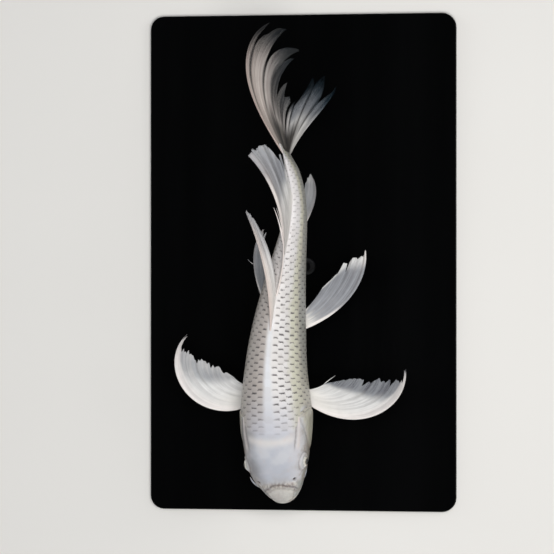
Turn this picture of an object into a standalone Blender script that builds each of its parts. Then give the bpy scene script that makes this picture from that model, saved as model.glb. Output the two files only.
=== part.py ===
"""A longfin koi carp at life size, swimming, held over a flat base by two short rods.

Run it in Blender 4.5, from the text editor or with blender --background --python part.py.
Units are metres and +Z is up. The snout points along -Y, the back is up, and the fish's left side
is on +X. The origin is the middle of the underside of the stand's base.
"""

import math
from collections import namedtuple

import bmesh
import bpy
import numpy as np
from mathutils import Vector

MM = 0.001
GAP = 0.3 * MM  # the gap that parts the body's pieces

# The body. Its outline is given in millimetres at equal steps of q, where q * q is the share of the
# standard length behind the snout, so that even steps round off the nose. Heights are from the axis.
STANDARD_LENGTH = 356 * MM
BODY_LENGTH = 362 * MM  # with the fleshy edge that laps over the root of the tail fin
HALF_WIDTH = (0, 10.2, 19.4, 27.9, 32.6, 35.2, 31.3, 26.2, 18.8, 10.9, 4.7)
BACK = (-4.5, 6.5, 17.5, 29.5, 40.5, 49.5, 55.5, 57.5, 49.0, 30.0, 24.0)
BELLY = (-4.5, -12.5, -19.5, -28.8, -37.8, -43.5, -46.3, -46.5, -40.5, -26.0, -23.0)
SQUARENESS = (2.0, 2.2, 2.35, 2.45, 2.4, 2.3, 2.15, 2.1, 2.05, 2.1, 2.1)
WIDEST_BELOW_MIDDLE = 2 * MM
# The midline from above, in millimetres behind the snout and towards the fish's left.
MIDLINE_BEHIND = (0, 41, 86, 131, 176, 216, 256, 292, 323, 356)
MIDLINE_LEFT = (5.2, 0.9, -0.3, -0.4, 3.1, 8.3, 14.8, 19.4, 17.4, 7.2)
MIDLINE_REACH, MIDLINE_SAMPLES = 1.05, 600  # how far past its last point, and how finely, it is measured
SNOUT_X = -6 * MM
# The muzzle is pushed out a little to the fish's left, between these distances behind its tip.
MUZZLE_LEFT, MUZZLE_FROM, MUZZLE_TO = 1.8 * MM, 27 * MM, 13 * MM
SNOUT_Y = -241 * MM
AXIS_HEIGHT = 130 * MM

# Where the body is parted, as distances behind the snout.
NAPE = 72 * MM
THROAT = 66 * MM
GILL_SWEEP = 27 * MM  # how far the gill covers reach behind the nape and the throat
GILL_ROUNDNESS = 1.5
MID_TRUNK = 178 * MM
VENT = 262 * MM
CAP_SHELF = 0.8  # the flat outer part of a cap starts at this share of the radius

# The head's own pieces.
EYE_RADIUS = 8.5 * MM
EYE_BEHIND = 41.5 * MM
EYE_ANGLE = math.radians(65)  # from the top of the head
EYE_CLEARANCE = 0.4 * MM
EYE_DEPTH = 0.8  # share of the way from the axis to the surface
EYE_SEGMENTS, EYE_RINGS = 14, 9
BROW_HEIGHT = 1.2 * MM
BROW_SPREAD = 9 * MM
COVER_BEHIND, COVER_ANGLE = 80 * MM, math.radians(98)
COVER_REACH, COVER_SPAN = 25 * MM, math.radians(38)
COVER_PROUD, COVER_THICK = 0.7 * MM, 2.5 * MM
COVER_SQUARENESS = 2.6
GILL_SLIT = 1 * MM  # behind each gill cover
COVER_SPOKES = 20
COVER_CLEARANCE_PROUD = 4 * MM  # the cutter for a gill cover's seat reaches this far out of the skin
# The lower jaw is what a wedge takes from the head: its side view, behind the snout and above the axis.
JAW_WEDGE = ((-8 * MM, -3 * MM), (17 * MM, -12.5 * MM), (24 * MM, -21 * MM), (28 * MM, -45 * MM),
             (-8 * MM, -45 * MM))
JAW_WEDGE_WIDTH = 70 * MM
JAW_WEDGE_SPREAD = 1.6  # a corner moves out by this many gaps to move the faces by about one

# The left barbels hang back and down by the cheek, and the right corner one stands out from it.
Barbel = namedtuple("Barbel", "behind angle length radius heading turn pitch")
BARBELS = {
    "barbel_upper_left": Barbel(7 * MM, 118, 11 * MM, 0.9 * MM, 40, -40, -50),
    "barbel_upper_right": Barbel(7 * MM, -98, 11 * MM, 0.9 * MM, -48, 26, -24),
    "barbel_corner_left": Barbel(17.5 * MM, 132, 20 * MM, 1.3 * MM, 42, -42, -52),
    "barbel_corner_right": Barbel(17.5 * MM, -112, 21 * MM, 1.3 * MM, -95, 70, -38),
}
BARBEL_TIP = 0.4  # share of the root's radius
BARBEL_SINK = 3 * MM
BARBEL_STEPS, BARBEL_SIDES = 6, 6

# A fin is a family of rays. Each Ray is a guide at a share of the way along the fin's root, from the
# leading edge: its length in millimetres, then in degrees its heading (0 is tailwards, 90 is to the
# fish's left), how that turns, how it turns more towards the tip, its pitch above level and the
# pitch's change. A root point is a distance behind the snout, an angle from the top, and how far out
# from the axis it lies as a share of the radius. The edge is torn into tufts, split by a share of the
# rays' length.
Ray = namedtuple("Ray", "share length heading turn late_turn pitch lift")
Fin = namedtuple("Fin", "root rays tufts split")
SUNK = 0.94

PECTORAL_LEFT = Fin(
    root=((98, 118, SUNK), (112, 132, SUNK)),
    rays=(Ray(0, 132.5, 128, -101, -35, -12, 26), Ray(0.3, 102.5, 117, -70, -36, -10, 22),
          Ray(0.6, 72, 112, -65, -27, -8, 18), Ray(0.85, 45, 106, -70, 0, -5, 12),
          Ray(1, 24, 84, -20, -17, -2, 8)),
    tufts=5, split=0.05)
PECTORAL_RIGHT = Fin(
    root=((98, -118, SUNK), (112, -132, SUNK)),
    rays=(Ray(0, 139.5, -118, 136, 31, -12, 26), Ray(0.3, 105, -106, 99, 38, -10, 22),
          Ray(0.6, 74.5, -101, 77, 35, -8, 18), Ray(0.85, 52, -93, 57, 43, -5, 12),
          Ray(1, 30, -66, -12, 50, -2, 8)),
    tufts=5, split=0.05)
PELVIC_LEFT = Fin(
    root=((173, 146, SUNK), (188, 150, SUNK)),
    rays=(Ray(0, 115, 71, -50, -29, -12, 14), Ray(0.35, 100.5, 67, -55, -4, -12, 14),
          Ray(0.7, 79, 58, -38, -8, -12, 14), Ray(1, 40.5, 45, -8, -8, -12, 12)),
    tufts=4, split=0.06)
PELVIC_RIGHT = Fin(
    root=((173, -147, SUNK), (188, -151, SUNK)),
    rays=(Ray(0, 121, -26, -4, 69, -36, 20), Ray(0.35, 114.5, -27, 11, 45, -38, 20),
          Ray(0.7, 92.5, -28, 10, 44, -40, 20), Ray(1, 62.5, -27, 2, 46, -42, 16)),
    tufts=4, split=0.06)
ANAL = Fin(
    root=((266, 180, SUNK), (279, 180, SUNK), (293, 180, SUNK)),
    rays=(Ray(0, 88, 19, 13, -81, -50, 34), Ray(0.5, 62, 13, 10, -45, -44, 30),
          Ray(1, 40.5, 4, 10, -18, -38, 26)),
    tufts=3, split=0.06)
DORSAL_FRONT = Fin(
    root=((168, 0, SUNK), (184, 0, SUNK), (200, 0, SUNK)),
    rays=(Ray(0, 135.5, 7, -31, 6, 27, -13), Ray(0.5, 116, 12, -50, 15, 25, -13),
          Ray(1, 96.5, 11, -48, 2.5, 22, -12)),
    tufts=2, split=0.04)
DORSAL_REAR = Fin(
    root=((203, 0, SUNK), (235, 0, SUNK), (270, 0, SUNK), (306, 0, SUNK)),
    rays=(Ray(0, 156, 22.5, -54, -12, 18, -10), Ray(0.33, 129.5, 18, -56, 2, 20, -12),
          Ray(0.66, 91.5, 9, -47, 20, 22, -12), Ray(1, 45.5, -7, -9, 3, 24, -12)),
    tufts=4, split=0.08)
CAUDAL = Fin(
    root=((352, 0, 0.88), (352, 180, 0.82)),
    rays=(Ray(0, 150.5, -30, 9, 90, 30, -30), Ray(0.17, 141.5, -28, 26, 77, 24, -24),
          Ray(0.33, 118.5, -17, 2, 104, 16, -16), Ray(0.45, 71, -2, -29, 110, 6, -8),
          Ray(0.55, 60, -1, 6, 48, -4, 4), Ray(0.7, 84.5, 7, 27, -12, -16, 8),
          Ray(0.88, 90, 12, 46, -21, -26, 16), Ray(1, 84.5, 22, 37, -29, -32, 20)),
    tufts=6, split=0.14)
FINS = {
    "pectoral_fin_left": (PECTORAL_LEFT, 0, 1),
    "pectoral_fin_right": (PECTORAL_RIGHT, 0, 1),
    "pelvic_fin_left": (PELVIC_LEFT, 0, 1),
    "pelvic_fin_right": (PELVIC_RIGHT, 0, 1),
    "anal_fin": (ANAL, 0, 1),
    "dorsal_fin_front": (DORSAL_FRONT, 0, 1),
    "dorsal_fin_rear": (DORSAL_REAR, 0, 1),
    "caudal_fin_upper": (CAUDAL, 0, 0.495),
    "caudal_fin_lower": (CAUDAL, 0.51, 1),
}
FIN_ROOT_THICKNESS = 1.8 * MM
FIN_EDGE_THICKNESS = 0.8 * MM
RAYS_ACROSS = 12
STEPS_ALONG = 7

# The stand.
BASE_LENGTH, BASE_WIDTH, BASE_HEIGHT = 514 * MM, 320 * MM, 10 * MM
BASE_CORNER, BASE_EDGE = 14 * MM, 1.5 * MM
CORNER_SEGMENTS, EDGE_SEGMENTS = 6, 2
ROD_RADIUS, FOOT_RADIUS, FOOT_HEIGHT = 3.5 * MM, 9 * MM, 3 * MM
ROD_BEHIND = {"stand_rod_front": 124 * MM, "stand_rod_rear": 238 * MM}
ROD_SIDES = 16

AROUND = 32  # faces round the body
HEAD_RINGS, TRUNK_RINGS = 18, 6


def clear_scene():
    for obj in list(bpy.data.objects):
        bpy.data.objects.remove(obj, do_unlink=True)


def material(name, color, roughness):
    made = bpy.data.materials.new(name)
    made.use_nodes = True
    shader = made.node_tree.nodes["Principled BSDF"]
    shader.inputs["Base Color"].default_value = (*color, 1)
    shader.inputs["Roughness"].default_value = roughness
    return made


def mesh_object(name, points, faces, finish=None):
    """A mesh object of triangles that point outwards. Twisted quads split alike on both sides of a gap."""
    mesh = bpy.data.meshes.new(name)
    mesh.from_pydata([tuple(p) for p in points], [], faces)
    shape = bmesh.new()
    shape.from_mesh(mesh)
    bmesh.ops.triangulate(shape, faces=shape.faces, quad_method="SHORT_EDGE")
    bmesh.ops.recalc_face_normals(shape, faces=shape.faces)
    shape.to_mesh(mesh)
    shape.free()
    mesh.shade_smooth()
    mesh.set_sharp_from_angle(angle=math.radians(40))
    if finish:
        mesh.materials.append(finish)
    obj = bpy.data.objects.new(name, mesh)
    bpy.context.scene.collection.objects.link(obj)
    return obj


def as_cutter(obj):
    obj.hide_render = True
    obj.display_type = "WIRE"
    return obj


def cut(obj, cutter, operation="DIFFERENCE"):
    boolean = obj.modifiers.new(cutter.name, "BOOLEAN")
    boolean.operation = operation
    boolean.solver = "EXACT"
    boolean.object = cutter


def natural_spline(xs, ys):
    """The smooth curve through the points, straight at both ends, as a function of x."""
    xs, ys = np.asarray(xs, float), np.asarray(ys, float)
    step = np.diff(xs)
    slope = np.diff(ys) / step
    last = len(xs) - 1
    rows, right = np.eye(last + 1), np.zeros(last + 1)
    for i in range(1, last):
        rows[i, i - 1 : i + 2] = step[i - 1], 2 * (step[i - 1] + step[i]), step[i]
        right[i] = 6 * (slope[i] - slope[i - 1])
    bend = np.linalg.solve(rows, right)

    def value(x):
        x = np.asarray(x, float)
        i = np.clip(np.searchsorted(xs, x) - 1, 0, last - 1)
        before, after, wide = x - xs[i], xs[i + 1] - x, step[i]
        cubic = (bend[i] * after**3 + bend[i + 1] * before**3) / (6 * wide)
        return (cubic + (ys[i] / wide - bend[i] * wide / 6) * after
                + (ys[i + 1] / wide - bend[i + 1] * wide / 6) * before)

    return value


STATIONS = np.linspace(0, 1, len(HALF_WIDTH))
half_width = natural_spline(STATIONS, np.array(HALF_WIDTH) * MM)
back_height = natural_spline(STATIONS, np.array(BACK) * MM)
belly_height = natural_spline(STATIONS, np.array(BELLY) * MM)
squareness = natural_spline(STATIONS, SQUARENESS)
midline_left = natural_spline(np.array(MIDLINE_BEHIND) * MM, np.array(MIDLINE_LEFT) * MM)


def midline(distance):
    """The midline's x and y at a distance along it, and its direction there."""
    behind = np.linspace(0, MIDLINE_BEHIND[-1] * MM * MIDLINE_REACH, MIDLINE_SAMPLES)
    left = midline_left(behind)
    run = np.concatenate([[0], np.cumsum(np.hypot(np.diff(behind), np.diff(left)))])
    at = np.interp(distance, run, behind)
    slope = (midline_left(at + MM) - midline_left(at - MM)) / (2 * MM)
    size = np.hypot(slope, 1)
    return midline_left(at) + SNOUT_X, at + SNOUT_Y, slope / size, 1 / size


def body_point(distance, angle, share=1.0, grow=0.0):
    """The place at a distance behind the snout and an angle from the top, at a share of the radius."""
    distance, angle = np.broadcast_arrays(np.asarray(distance, float), np.asarray(angle, float))
    q = np.sqrt(np.clip(distance, 0, None) / STANDARD_LENGTH)
    wide = half_width(q) + grow
    top, low = back_height(q) + grow, belly_height(q) - grow
    middle = (top + low) / 2 - WIDEST_BELOW_MIDDLE * np.clip(2 * q, 0, 1)
    side, up = np.sin(angle), np.cos(angle)
    power = squareness(q)
    size = (np.abs(side) ** power + np.abs(up) ** power) ** (1 / power)
    across = share * wide * side / size
    height = middle + share * np.where(up >= 0, top - middle, middle - low) * up / size
    brow = brow_swell(distance, angle)
    x, y, lean, ahead = midline(distance)
    across = across + share * brow * np.sign(side)
    x = x + muzzle_shift(distance)
    return np.stack([x + across * ahead, y - across * lean, AXIS_HEIGHT + height], -1)


def muzzle_shift(distance):
    """How far the muzzle stands to the fish's left, rising smoothly towards its tip."""
    t = np.clip((distance - MUZZLE_FROM) / (MUZZLE_TO - MUZZLE_FROM), 0, 1)
    return MUZZLE_LEFT * t * t * (3 - 2 * t)


def brow_swell(distance, angle):
    """How far the head swells round the eyes."""
    turned = np.abs((angle + math.pi) % (2 * math.pi) - math.pi)
    behind = (distance - EYE_BEHIND) / BROW_SPREAD
    around = (turned - EYE_ANGLE) * half_width(math.sqrt(EYE_BEHIND / STANDARD_LENGTH)) / BROW_SPREAD
    return BROW_HEIGHT * np.exp(-(behind**2 + around**2))


def gill_edge(angle):
    """How far behind the snout the head ends: furthest at the gill covers."""
    level = (NAPE + THROAT) / 2 + (NAPE - THROAT) / 2 * np.cos(angle)
    return level + GILL_SWEEP * np.abs(np.sin(angle)) ** GILL_ROUNDNESS


def body_length(name, start, end, rings, finish=None, grow=0.0):
    """The body between two edges, each a distance by angle. A start of None is the snout."""
    angles = np.arange(AROUND) * 2 * math.pi / AROUND
    first = np.zeros(AROUND) if start is None else start(angles)
    last = end(angles)
    loops = []
    for k in range(1 if start is None else 0, rings + 1):
        root = np.sqrt(first) + (np.sqrt(last) - np.sqrt(first)) * k / rings
        loops.append(body_point(root**2, angles, 1, grow))
    if start is None:
        head_on = body_point(0, 0)
        head_on[1] -= grow
        ends_first = [head_on[None]]
    else:
        ends_first = [body_point(first.mean(), 0, 0)[None], body_point(first, angles, CAP_SHELF, grow)]
    ends_last = [body_point(last, angles, CAP_SHELF, grow), body_point(last.mean(), 0, 0)[None]]
    return rings_object(name, ends_first + loops + ends_last, finish)


def rings_object(name, rings, finish=None):
    """A solid through rings of points, whose first and last rings are single points."""
    faces = []
    starts = np.cumsum([0] + [len(r) for r in rings])
    for ring, following, a, b in zip(rings, rings[1:], starts, starts[1:]):
        count = max(len(ring), len(following))
        for i in range(count):
            j = (i + 1) % count
            near, far = len(ring), len(following)
            corners = [a + i % near, a + j % near, b + j % far, b + i % far]
            faces.append(list(dict.fromkeys(corners)))
    return mesh_object(name, np.vstack(rings), faces, finish)


def make_body(finish):
    """The head, the trunk's two lengths and the tail stalk, parted by thin gaps."""
    half = GAP / 2
    nodes = {
        "head": body_length("head", None, lambda a: gill_edge(a) - half, HEAD_RINGS, finish),
        "trunk_front": body_length("trunk_front", lambda a: gill_edge(a) + half,
                                   lambda a: MID_TRUNK - half + 0 * a, TRUNK_RINGS, finish),
        "trunk_rear": body_length("trunk_rear", lambda a: MID_TRUNK + half + 0 * a,
                                  lambda a: VENT - half + 0 * a, TRUNK_RINGS, finish),
        "tail_stalk": body_length("tail_stalk", lambda a: VENT + half + 0 * a,
                                  lambda a: BODY_LENGTH + 0 * a, TRUNK_RINGS, finish),
    }
    clearance = body_length("body_clearance", None, lambda a: BODY_LENGTH + GAP + 0 * a,
                            HEAD_RINGS + 2 * TRUNK_RINGS, grow=GAP)
    return nodes, as_cutter(clearance)


def wedge(name, margin):
    """The block that parts the lower jaw, grown by a margin on its upper and rear faces."""
    side = np.array(JAW_WEDGE)
    middle = side.mean(axis=0)
    outward = side - middle
    side = side + margin * JAW_WEDGE_SPREAD * outward / np.linalg.norm(outward, axis=1)[:, None]
    half = JAW_WEDGE_WIDTH / 2 + margin
    points = [(SNOUT_X + x, SNOUT_Y + behind, AXIS_HEIGHT + above)
              for x in (-half, half) for behind, above in side]
    count = len(side)
    faces = [list(range(count)), list(range(count, 2 * count))]
    faces += [[i, (i + 1) % count, (i + 1) % count + count, i + count] for i in range(count)]
    return as_cutter(mesh_object(name, points, faces))


def make_jaw(head, finish):
    jaw = mesh_object("lower_jaw", *plain_mesh(head), finish)
    cut(jaw, wedge("jaw_wedge", 0), "INTERSECT")
    cut(head, wedge("jaw_wedge_clearance", GAP))


def plain_mesh(obj):
    """The points and faces of an object's mesh, to make a second one from."""
    return [tuple(v.co) for v in obj.data.vertices], [list(p.vertices) for p in obj.data.polygons]


def cover_patch(name, side, inner, outer, margin, to_gill_edge, finish=None):
    """A curved plate on the cheek, from rings round its middle on its inner and outer faces."""
    spokes = np.arange(COVER_SPOKES) * 2 * math.pi / COVER_SPOKES
    power = 2 / COVER_SQUARENESS
    along = np.sign(np.cos(spokes)) * np.abs(np.cos(spokes)) ** power
    around = np.sign(np.sin(spokes)) * np.abs(np.sin(spokes)) ** power
    arm = half_width(math.sqrt(COVER_BEHIND / STANDARD_LENGTH))

    def ring(share, grow):
        distance = COVER_BEHIND + share * along * (COVER_REACH + margin)
        angle = COVER_ANGLE + share * around * (COVER_SPAN + margin / arm)
        if to_gill_edge:
            distance = np.minimum(distance, gill_edge(angle) - GILL_SLIT)
        return body_point(distance, side * angle, 1, grow)

    shares = (1 / 3, 2 / 3, 1)
    middle_in = body_point(COVER_BEHIND, side * COVER_ANGLE, 1, inner)[None]
    middle_out = body_point(COVER_BEHIND, side * COVER_ANGLE, 1, outer)[None]
    rings = [middle_in] + [ring(s, inner) for s in shares]
    rings += [ring(s, outer) for s in reversed(shares)] + [middle_out]
    return rings_object(name, rings, finish)


def make_gill_covers(head, finish):
    for name, side in (("left", 1), ("right", -1)):
        cover_patch(f"gill_cover_{name}", side, -COVER_THICK, COVER_PROUD, 0, True, finish)
        clearance = cover_patch(f"gill_cover_{name}_clearance", side, -COVER_THICK - GAP,
                                COVER_CLEARANCE_PROUD, GAP, False)
        cut(head, as_cutter(clearance))


def ball(name, centre, outward, radius, finish=None):
    """A ball with a pole facing outwards."""
    shape = bmesh.new()
    bmesh.ops.create_uvsphere(shape, u_segments=EYE_SEGMENTS, v_segments=EYE_RINGS, radius=radius)
    mesh = bpy.data.meshes.new(name)
    shape.to_mesh(mesh)
    shape.free()
    mesh.shade_smooth()
    if finish:
        mesh.materials.append(finish)
    obj = bpy.data.objects.new(name, mesh)
    obj.location = centre
    obj.rotation_euler = Vector(outward).to_track_quat("Z", "Y").to_euler()
    bpy.context.scene.collection.objects.link(obj)
    return obj


def make_eyes(head, finish):
    for name, side in (("left", 1), ("right", -1)):
        centre = body_point(EYE_BEHIND, side * EYE_ANGLE, EYE_DEPTH)
        outward = body_point(EYE_BEHIND, side * EYE_ANGLE) - centre
        ball(f"eye_{name}", centre, outward, EYE_RADIUS, finish)
        socket = ball(f"eye_{name}_socket", centre, outward, EYE_RADIUS + EYE_CLEARANCE)
        cut(head, as_cutter(socket))


def path_from(start, headings, pitches, length):
    """The points of a path whose heading and pitch are given at the middle of each equal step."""
    heading, pitch = np.radians(headings), np.radians(pitches)
    level = np.cos(pitch)
    steps = np.stack([level * np.sin(heading), level * np.cos(heading), np.sin(pitch)], -1)
    return np.vstack([start, start + np.cumsum(steps * length / len(headings), axis=0)])


def make_barbels(clearance, finish):
    middles = (np.arange(BARBEL_STEPS) + 0.5) / BARBEL_STEPS
    for name, barbel in BARBELS.items():
        root = body_point(barbel.behind, math.radians(barbel.angle))
        heading = barbel.heading + barbel.turn * middles
        path = path_from(root, heading, barbel.pitch + 0 * middles, barbel.length)
        path[0] -= (path[1] - path[0]) * BARBEL_SINK / np.linalg.norm(path[1] - path[0])
        radii = barbel.radius * np.linspace(1, BARBEL_TIP, BARBEL_STEPS + 1)
        cut(tube(name, path, radii, finish), clearance)


def tube(name, path, radii, finish):
    """A round bar along a path, with its own radius at each point."""
    forward = np.gradient(path, axis=0)
    forward /= np.linalg.norm(forward, axis=1)[:, None]
    first = np.cross(forward, (0, 0, 1))
    first /= np.linalg.norm(first, axis=1)[:, None]
    second = np.cross(forward, first)
    turns = np.arange(BARBEL_SIDES) * 2 * math.pi / BARBEL_SIDES
    rings = [path[:1]]
    for middle, radius, a, b in zip(path, radii, first, second):
        rings.append(middle + radius * (np.outer(np.cos(turns), a) + np.outer(np.sin(turns), b)))
    rings.append(path[-1:])
    return rings_object(name, rings, finish)


def fin_sheet(fin, start, end):
    """The middle of a fin between two shares of its root, as rays of points."""
    root = np.array([body_point(d * MM, math.radians(a), share) for d, a, share in fin.root])
    at = np.linspace(0, 1, len(root))
    root_line = [natural_spline(at, root[:, k]) for k in range(3)]
    guides = np.array(fin.rays, float)
    measure = [natural_spline(guides[:, 0], guides[:, k]) for k in range(1, guides.shape[1])]
    middles = (np.arange(STEPS_ALONG) + 0.5) / STEPS_ALONG
    rays = []
    for share in np.linspace(start, end, RAYS_ACROSS):
        length, heading, turn, late_turn, pitch, lift = (m(share) for m in measure)
        foot = np.array([line(share) for line in root_line])
        headings = heading + turn * middles + late_turn * middles**3
        torn = 1 - fin.split * abs(math.sin(math.pi * fin.tufts * share))
        rays.append(path_from(foot, headings, pitch + lift * middles, length * torn * MM))
    return np.array(rays)


def make_fin(name, fin, start, end, clearance, finish):
    """A thin solid on both sides of the fin's middle, cut off where it meets the body."""
    middle = fin_sheet(fin, start, end)
    normal = np.cross(np.gradient(middle, axis=0), np.gradient(middle, axis=1))
    normal /= np.linalg.norm(normal, axis=2)[..., None]
    out = np.linspace(0, 1, STEPS_ALONG + 1)
    thickness = FIN_ROOT_THICKNESS + (FIN_EDGE_THICKNESS - FIN_ROOT_THICKNESS) * out
    offset = normal * thickness[None, :, None] / 2
    rows, columns = middle.shape[:2]
    points = np.concatenate([(middle + offset).reshape(-1, 3), (middle - offset).reshape(-1, 3)])
    upper = np.arange(rows * columns).reshape(rows, columns)
    lower = upper + rows * columns
    faces = []
    for grid in (upper, lower):
        faces += [[grid[i, j], grid[i + 1, j], grid[i + 1, j + 1], grid[i, j + 1]]
                  for i in range(rows - 1) for j in range(columns - 1)]
    for edge in (np.s_[:, 0], np.s_[:, -1], np.s_[0, :], np.s_[-1, :]):
        a, b = upper[edge], lower[edge]
        faces += [[a[i], a[i + 1], b[i + 1], b[i]] for i in range(len(a) - 1)]
    faces = [[int(corner) for corner in face] for face in faces]
    cut(mesh_object(name, points, faces, finish), clearance)


def round_off(shape, edges, radius, segments):
    bmesh.ops.bevel(shape, geom=edges, offset=radius, segments=segments, profile=0.5, affect="EDGES")


def make_base(finish):
    shape = bmesh.new()
    bmesh.ops.create_cube(shape, size=1)
    bmesh.ops.scale(shape, vec=(BASE_WIDTH, BASE_LENGTH, BASE_HEIGHT), verts=shape.verts)
    bmesh.ops.translate(shape, vec=(0, 0, BASE_HEIGHT / 2), verts=shape.verts)
    upright = [e for e in shape.edges if abs(e.verts[0].co.z - e.verts[1].co.z) > BASE_HEIGHT / 2]
    round_off(shape, upright, BASE_CORNER, CORNER_SEGMENTS)
    rim = [e for e in shape.edges if all(v.co.z > BASE_HEIGHT - GAP for v in e.verts)]
    round_off(shape, rim, BASE_EDGE, EDGE_SEGMENTS)
    mesh = bpy.data.meshes.new("stand_base")
    shape.to_mesh(mesh)
    shape.free()
    mesh.materials.append(finish)
    bpy.context.scene.collection.objects.link(bpy.data.objects.new("stand_base", mesh))


def make_rods(clearance, finish):
    """Turned rods with a foot, standing under the midline and cut to the belly."""
    turns = np.arange(ROD_SIDES) * 2 * math.pi / ROD_SIDES
    low = BASE_HEIGHT + GAP
    high = low + FOOT_HEIGHT
    profile = ((FOOT_RADIUS, low), (FOOT_RADIUS, high), (ROD_RADIUS, high), (ROD_RADIUS, AXIS_HEIGHT))
    for name, behind in ROD_BEHIND.items():
        x, y = (float(v) for v in midline(behind)[:2])
        rings = [np.array([[x, y, low]])]
        rings += [np.stack([x + r * np.cos(turns), y + r * np.sin(turns), z + 0 * turns], -1)
                  for r, z in profile]
        rings.append(np.array([[x, y, AXIS_HEIGHT]]))
        cut(rings_object(name, rings, finish), clearance)


def main():
    clear_scene()
    skin = material("pale_skin", (0.78, 0.77, 0.75), 0.35)
    membrane = material("fin_membrane", (0.80, 0.80, 0.80), 0.4)
    eye = material("eye", (0.25, 0.2, 0.14), 0.1)
    black = material("satin_black", (0.015, 0.015, 0.016), 0.45)
    steel = material("rod_steel", (0.05, 0.05, 0.055), 0.3)
    nodes, clearance = make_body(skin)
    make_eyes(nodes["head"], eye)
    make_jaw(nodes["head"], skin)
    make_gill_covers(nodes["head"], skin)
    make_barbels(clearance, skin)
    for name, (fin, start, end) in FINS.items():
        make_fin(name, fin, start, end, clearance, membrane)
    make_base(black)
    make_rods(clearance, steel)


main()
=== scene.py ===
"""A longfin koi carp at life size on a plain display stand: every finished surface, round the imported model.

One skin runs from the lips to the tail stalk, with the lips, nostrils, eye rims and gill covers worked into
it. About a thousand scales lie over it in rows. Each fin is a thin membrane on branching rays. Lengths are
in metres. The snout points along -Y, the back is up, and the fish's left side is on +X.
"""

import math
from collections import namedtuple

import bpy
import numpy as np
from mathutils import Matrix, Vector

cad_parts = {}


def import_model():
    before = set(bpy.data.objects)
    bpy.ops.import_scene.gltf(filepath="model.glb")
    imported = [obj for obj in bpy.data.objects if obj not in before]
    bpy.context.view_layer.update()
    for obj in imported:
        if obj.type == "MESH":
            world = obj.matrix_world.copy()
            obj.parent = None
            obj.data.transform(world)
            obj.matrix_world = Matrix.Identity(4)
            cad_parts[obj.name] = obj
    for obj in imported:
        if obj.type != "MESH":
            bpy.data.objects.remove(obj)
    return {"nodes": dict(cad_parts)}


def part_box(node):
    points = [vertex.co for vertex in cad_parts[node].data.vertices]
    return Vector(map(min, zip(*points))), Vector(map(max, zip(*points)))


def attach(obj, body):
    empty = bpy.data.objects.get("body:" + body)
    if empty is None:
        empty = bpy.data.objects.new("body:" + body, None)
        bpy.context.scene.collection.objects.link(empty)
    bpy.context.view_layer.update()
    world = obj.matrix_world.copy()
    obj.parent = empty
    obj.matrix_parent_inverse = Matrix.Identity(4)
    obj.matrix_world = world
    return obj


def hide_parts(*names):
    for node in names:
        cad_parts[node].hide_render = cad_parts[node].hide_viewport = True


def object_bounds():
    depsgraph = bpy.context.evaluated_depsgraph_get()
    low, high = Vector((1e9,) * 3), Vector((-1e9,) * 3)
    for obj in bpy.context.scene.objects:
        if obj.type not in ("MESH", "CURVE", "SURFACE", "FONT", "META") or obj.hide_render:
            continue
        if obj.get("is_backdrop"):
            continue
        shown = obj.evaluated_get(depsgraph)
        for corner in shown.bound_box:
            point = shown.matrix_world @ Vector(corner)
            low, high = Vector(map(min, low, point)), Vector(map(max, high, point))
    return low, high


MM = 0.001

# --- The body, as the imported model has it. The lists are in millimetres, but for the section's exponent.
# --- The first four are at even steps of q, where q * q is the share of the standard length behind the
# --- snout, and the midline's swing to the left is at places behind the snout.
STANDARD_LENGTH = 356 * MM
BODY_LENGTH = 362 * MM
HALF_WIDTH = (0, 10.2, 19.4, 27.9, 32.6, 35.2, 31.3, 26.2, 18.8, 10.9, 4.7)
BACK = (-4.5, 6.5, 17.5, 29.5, 40.5, 49.5, 55.5, 57.5, 49.0, 30.0, 24.0)
BELLY = (-4.5, -12.5, -19.5, -28.8, -37.8, -43.5, -46.3, -46.5, -40.5, -26.0, -23.0)
SQUARENESS = (2.0, 2.2, 2.35, 2.45, 2.4, 2.3, 2.15, 2.1, 2.05, 2.1, 2.1)
WIDEST_BELOW_MIDDLE = 2 * MM
MIDLINE_BEHIND = (0, 41, 86, 131, 176, 216, 256, 292, 323, 356)
MIDLINE_LEFT = (5.2, 0.9, -0.3, -0.4, 3.1, 8.3, 14.8, 19.4, 17.4, 7.2)
MIDLINE_REACH, MIDLINE_SAMPLES = 1.05, 600
SNOUT_X, SNOUT_Y, AXIS_HEIGHT = -6 * MM, -241 * MM, 130 * MM
MUZZLE_LEFT, MUZZLE_FROM, MUZZLE_TO = 1.8 * MM, 27 * MM, 13 * MM  # how far it is pushed out to the left

# --- The head.
NAPE, THROAT, GILL_SWEEP, GILL_ROUNDNESS = 72 * MM, 66 * MM, 27 * MM, 1.5
EYE_RADIUS, EYE_BEHIND, EYE_ANGLE, EYE_DEPTH = 8.5 * MM, 41.5 * MM, math.radians(65), 0.8
EYE_OPENING = 5.9 * MM  # radius of the ring of skin that the eyeball shows through
EYE_UNDER = 0.9 * MM  # how far the skin runs under the eyeball's surface inside that ring
BROW_HEIGHT, BROW_SPREAD = 1.2 * MM, 9 * MM
COVER_BEHIND, COVER_ANGLE = 80 * MM, math.radians(98)
COVER_REACH, COVER_SPAN, COVER_SQUARENESS = 25 * MM, math.radians(38), 2.6
COVER_SHEAR = math.radians(0.8) / MM  # the cover's upper edge rises towards its rear
SLIT_TOP, SLIT_LOW = math.radians(46), math.radians(170)
MOUTH_HEIGHT, MOUTH_SLOPE = -6 * MM, -0.38  # the mouth's line at the front, and its fall towards the corners
MOUTH_CORNER = 15.5 * MM
NOSTRIL_BEHIND, NOSTRIL_ANGLE = 23.5 * MM, math.radians(45)
CREST_BEHIND, CREST_ANGLE, CREST_RISE = 59 * MM, math.radians(42), math.radians(0.14) / MM  # see crest_relief
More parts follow.
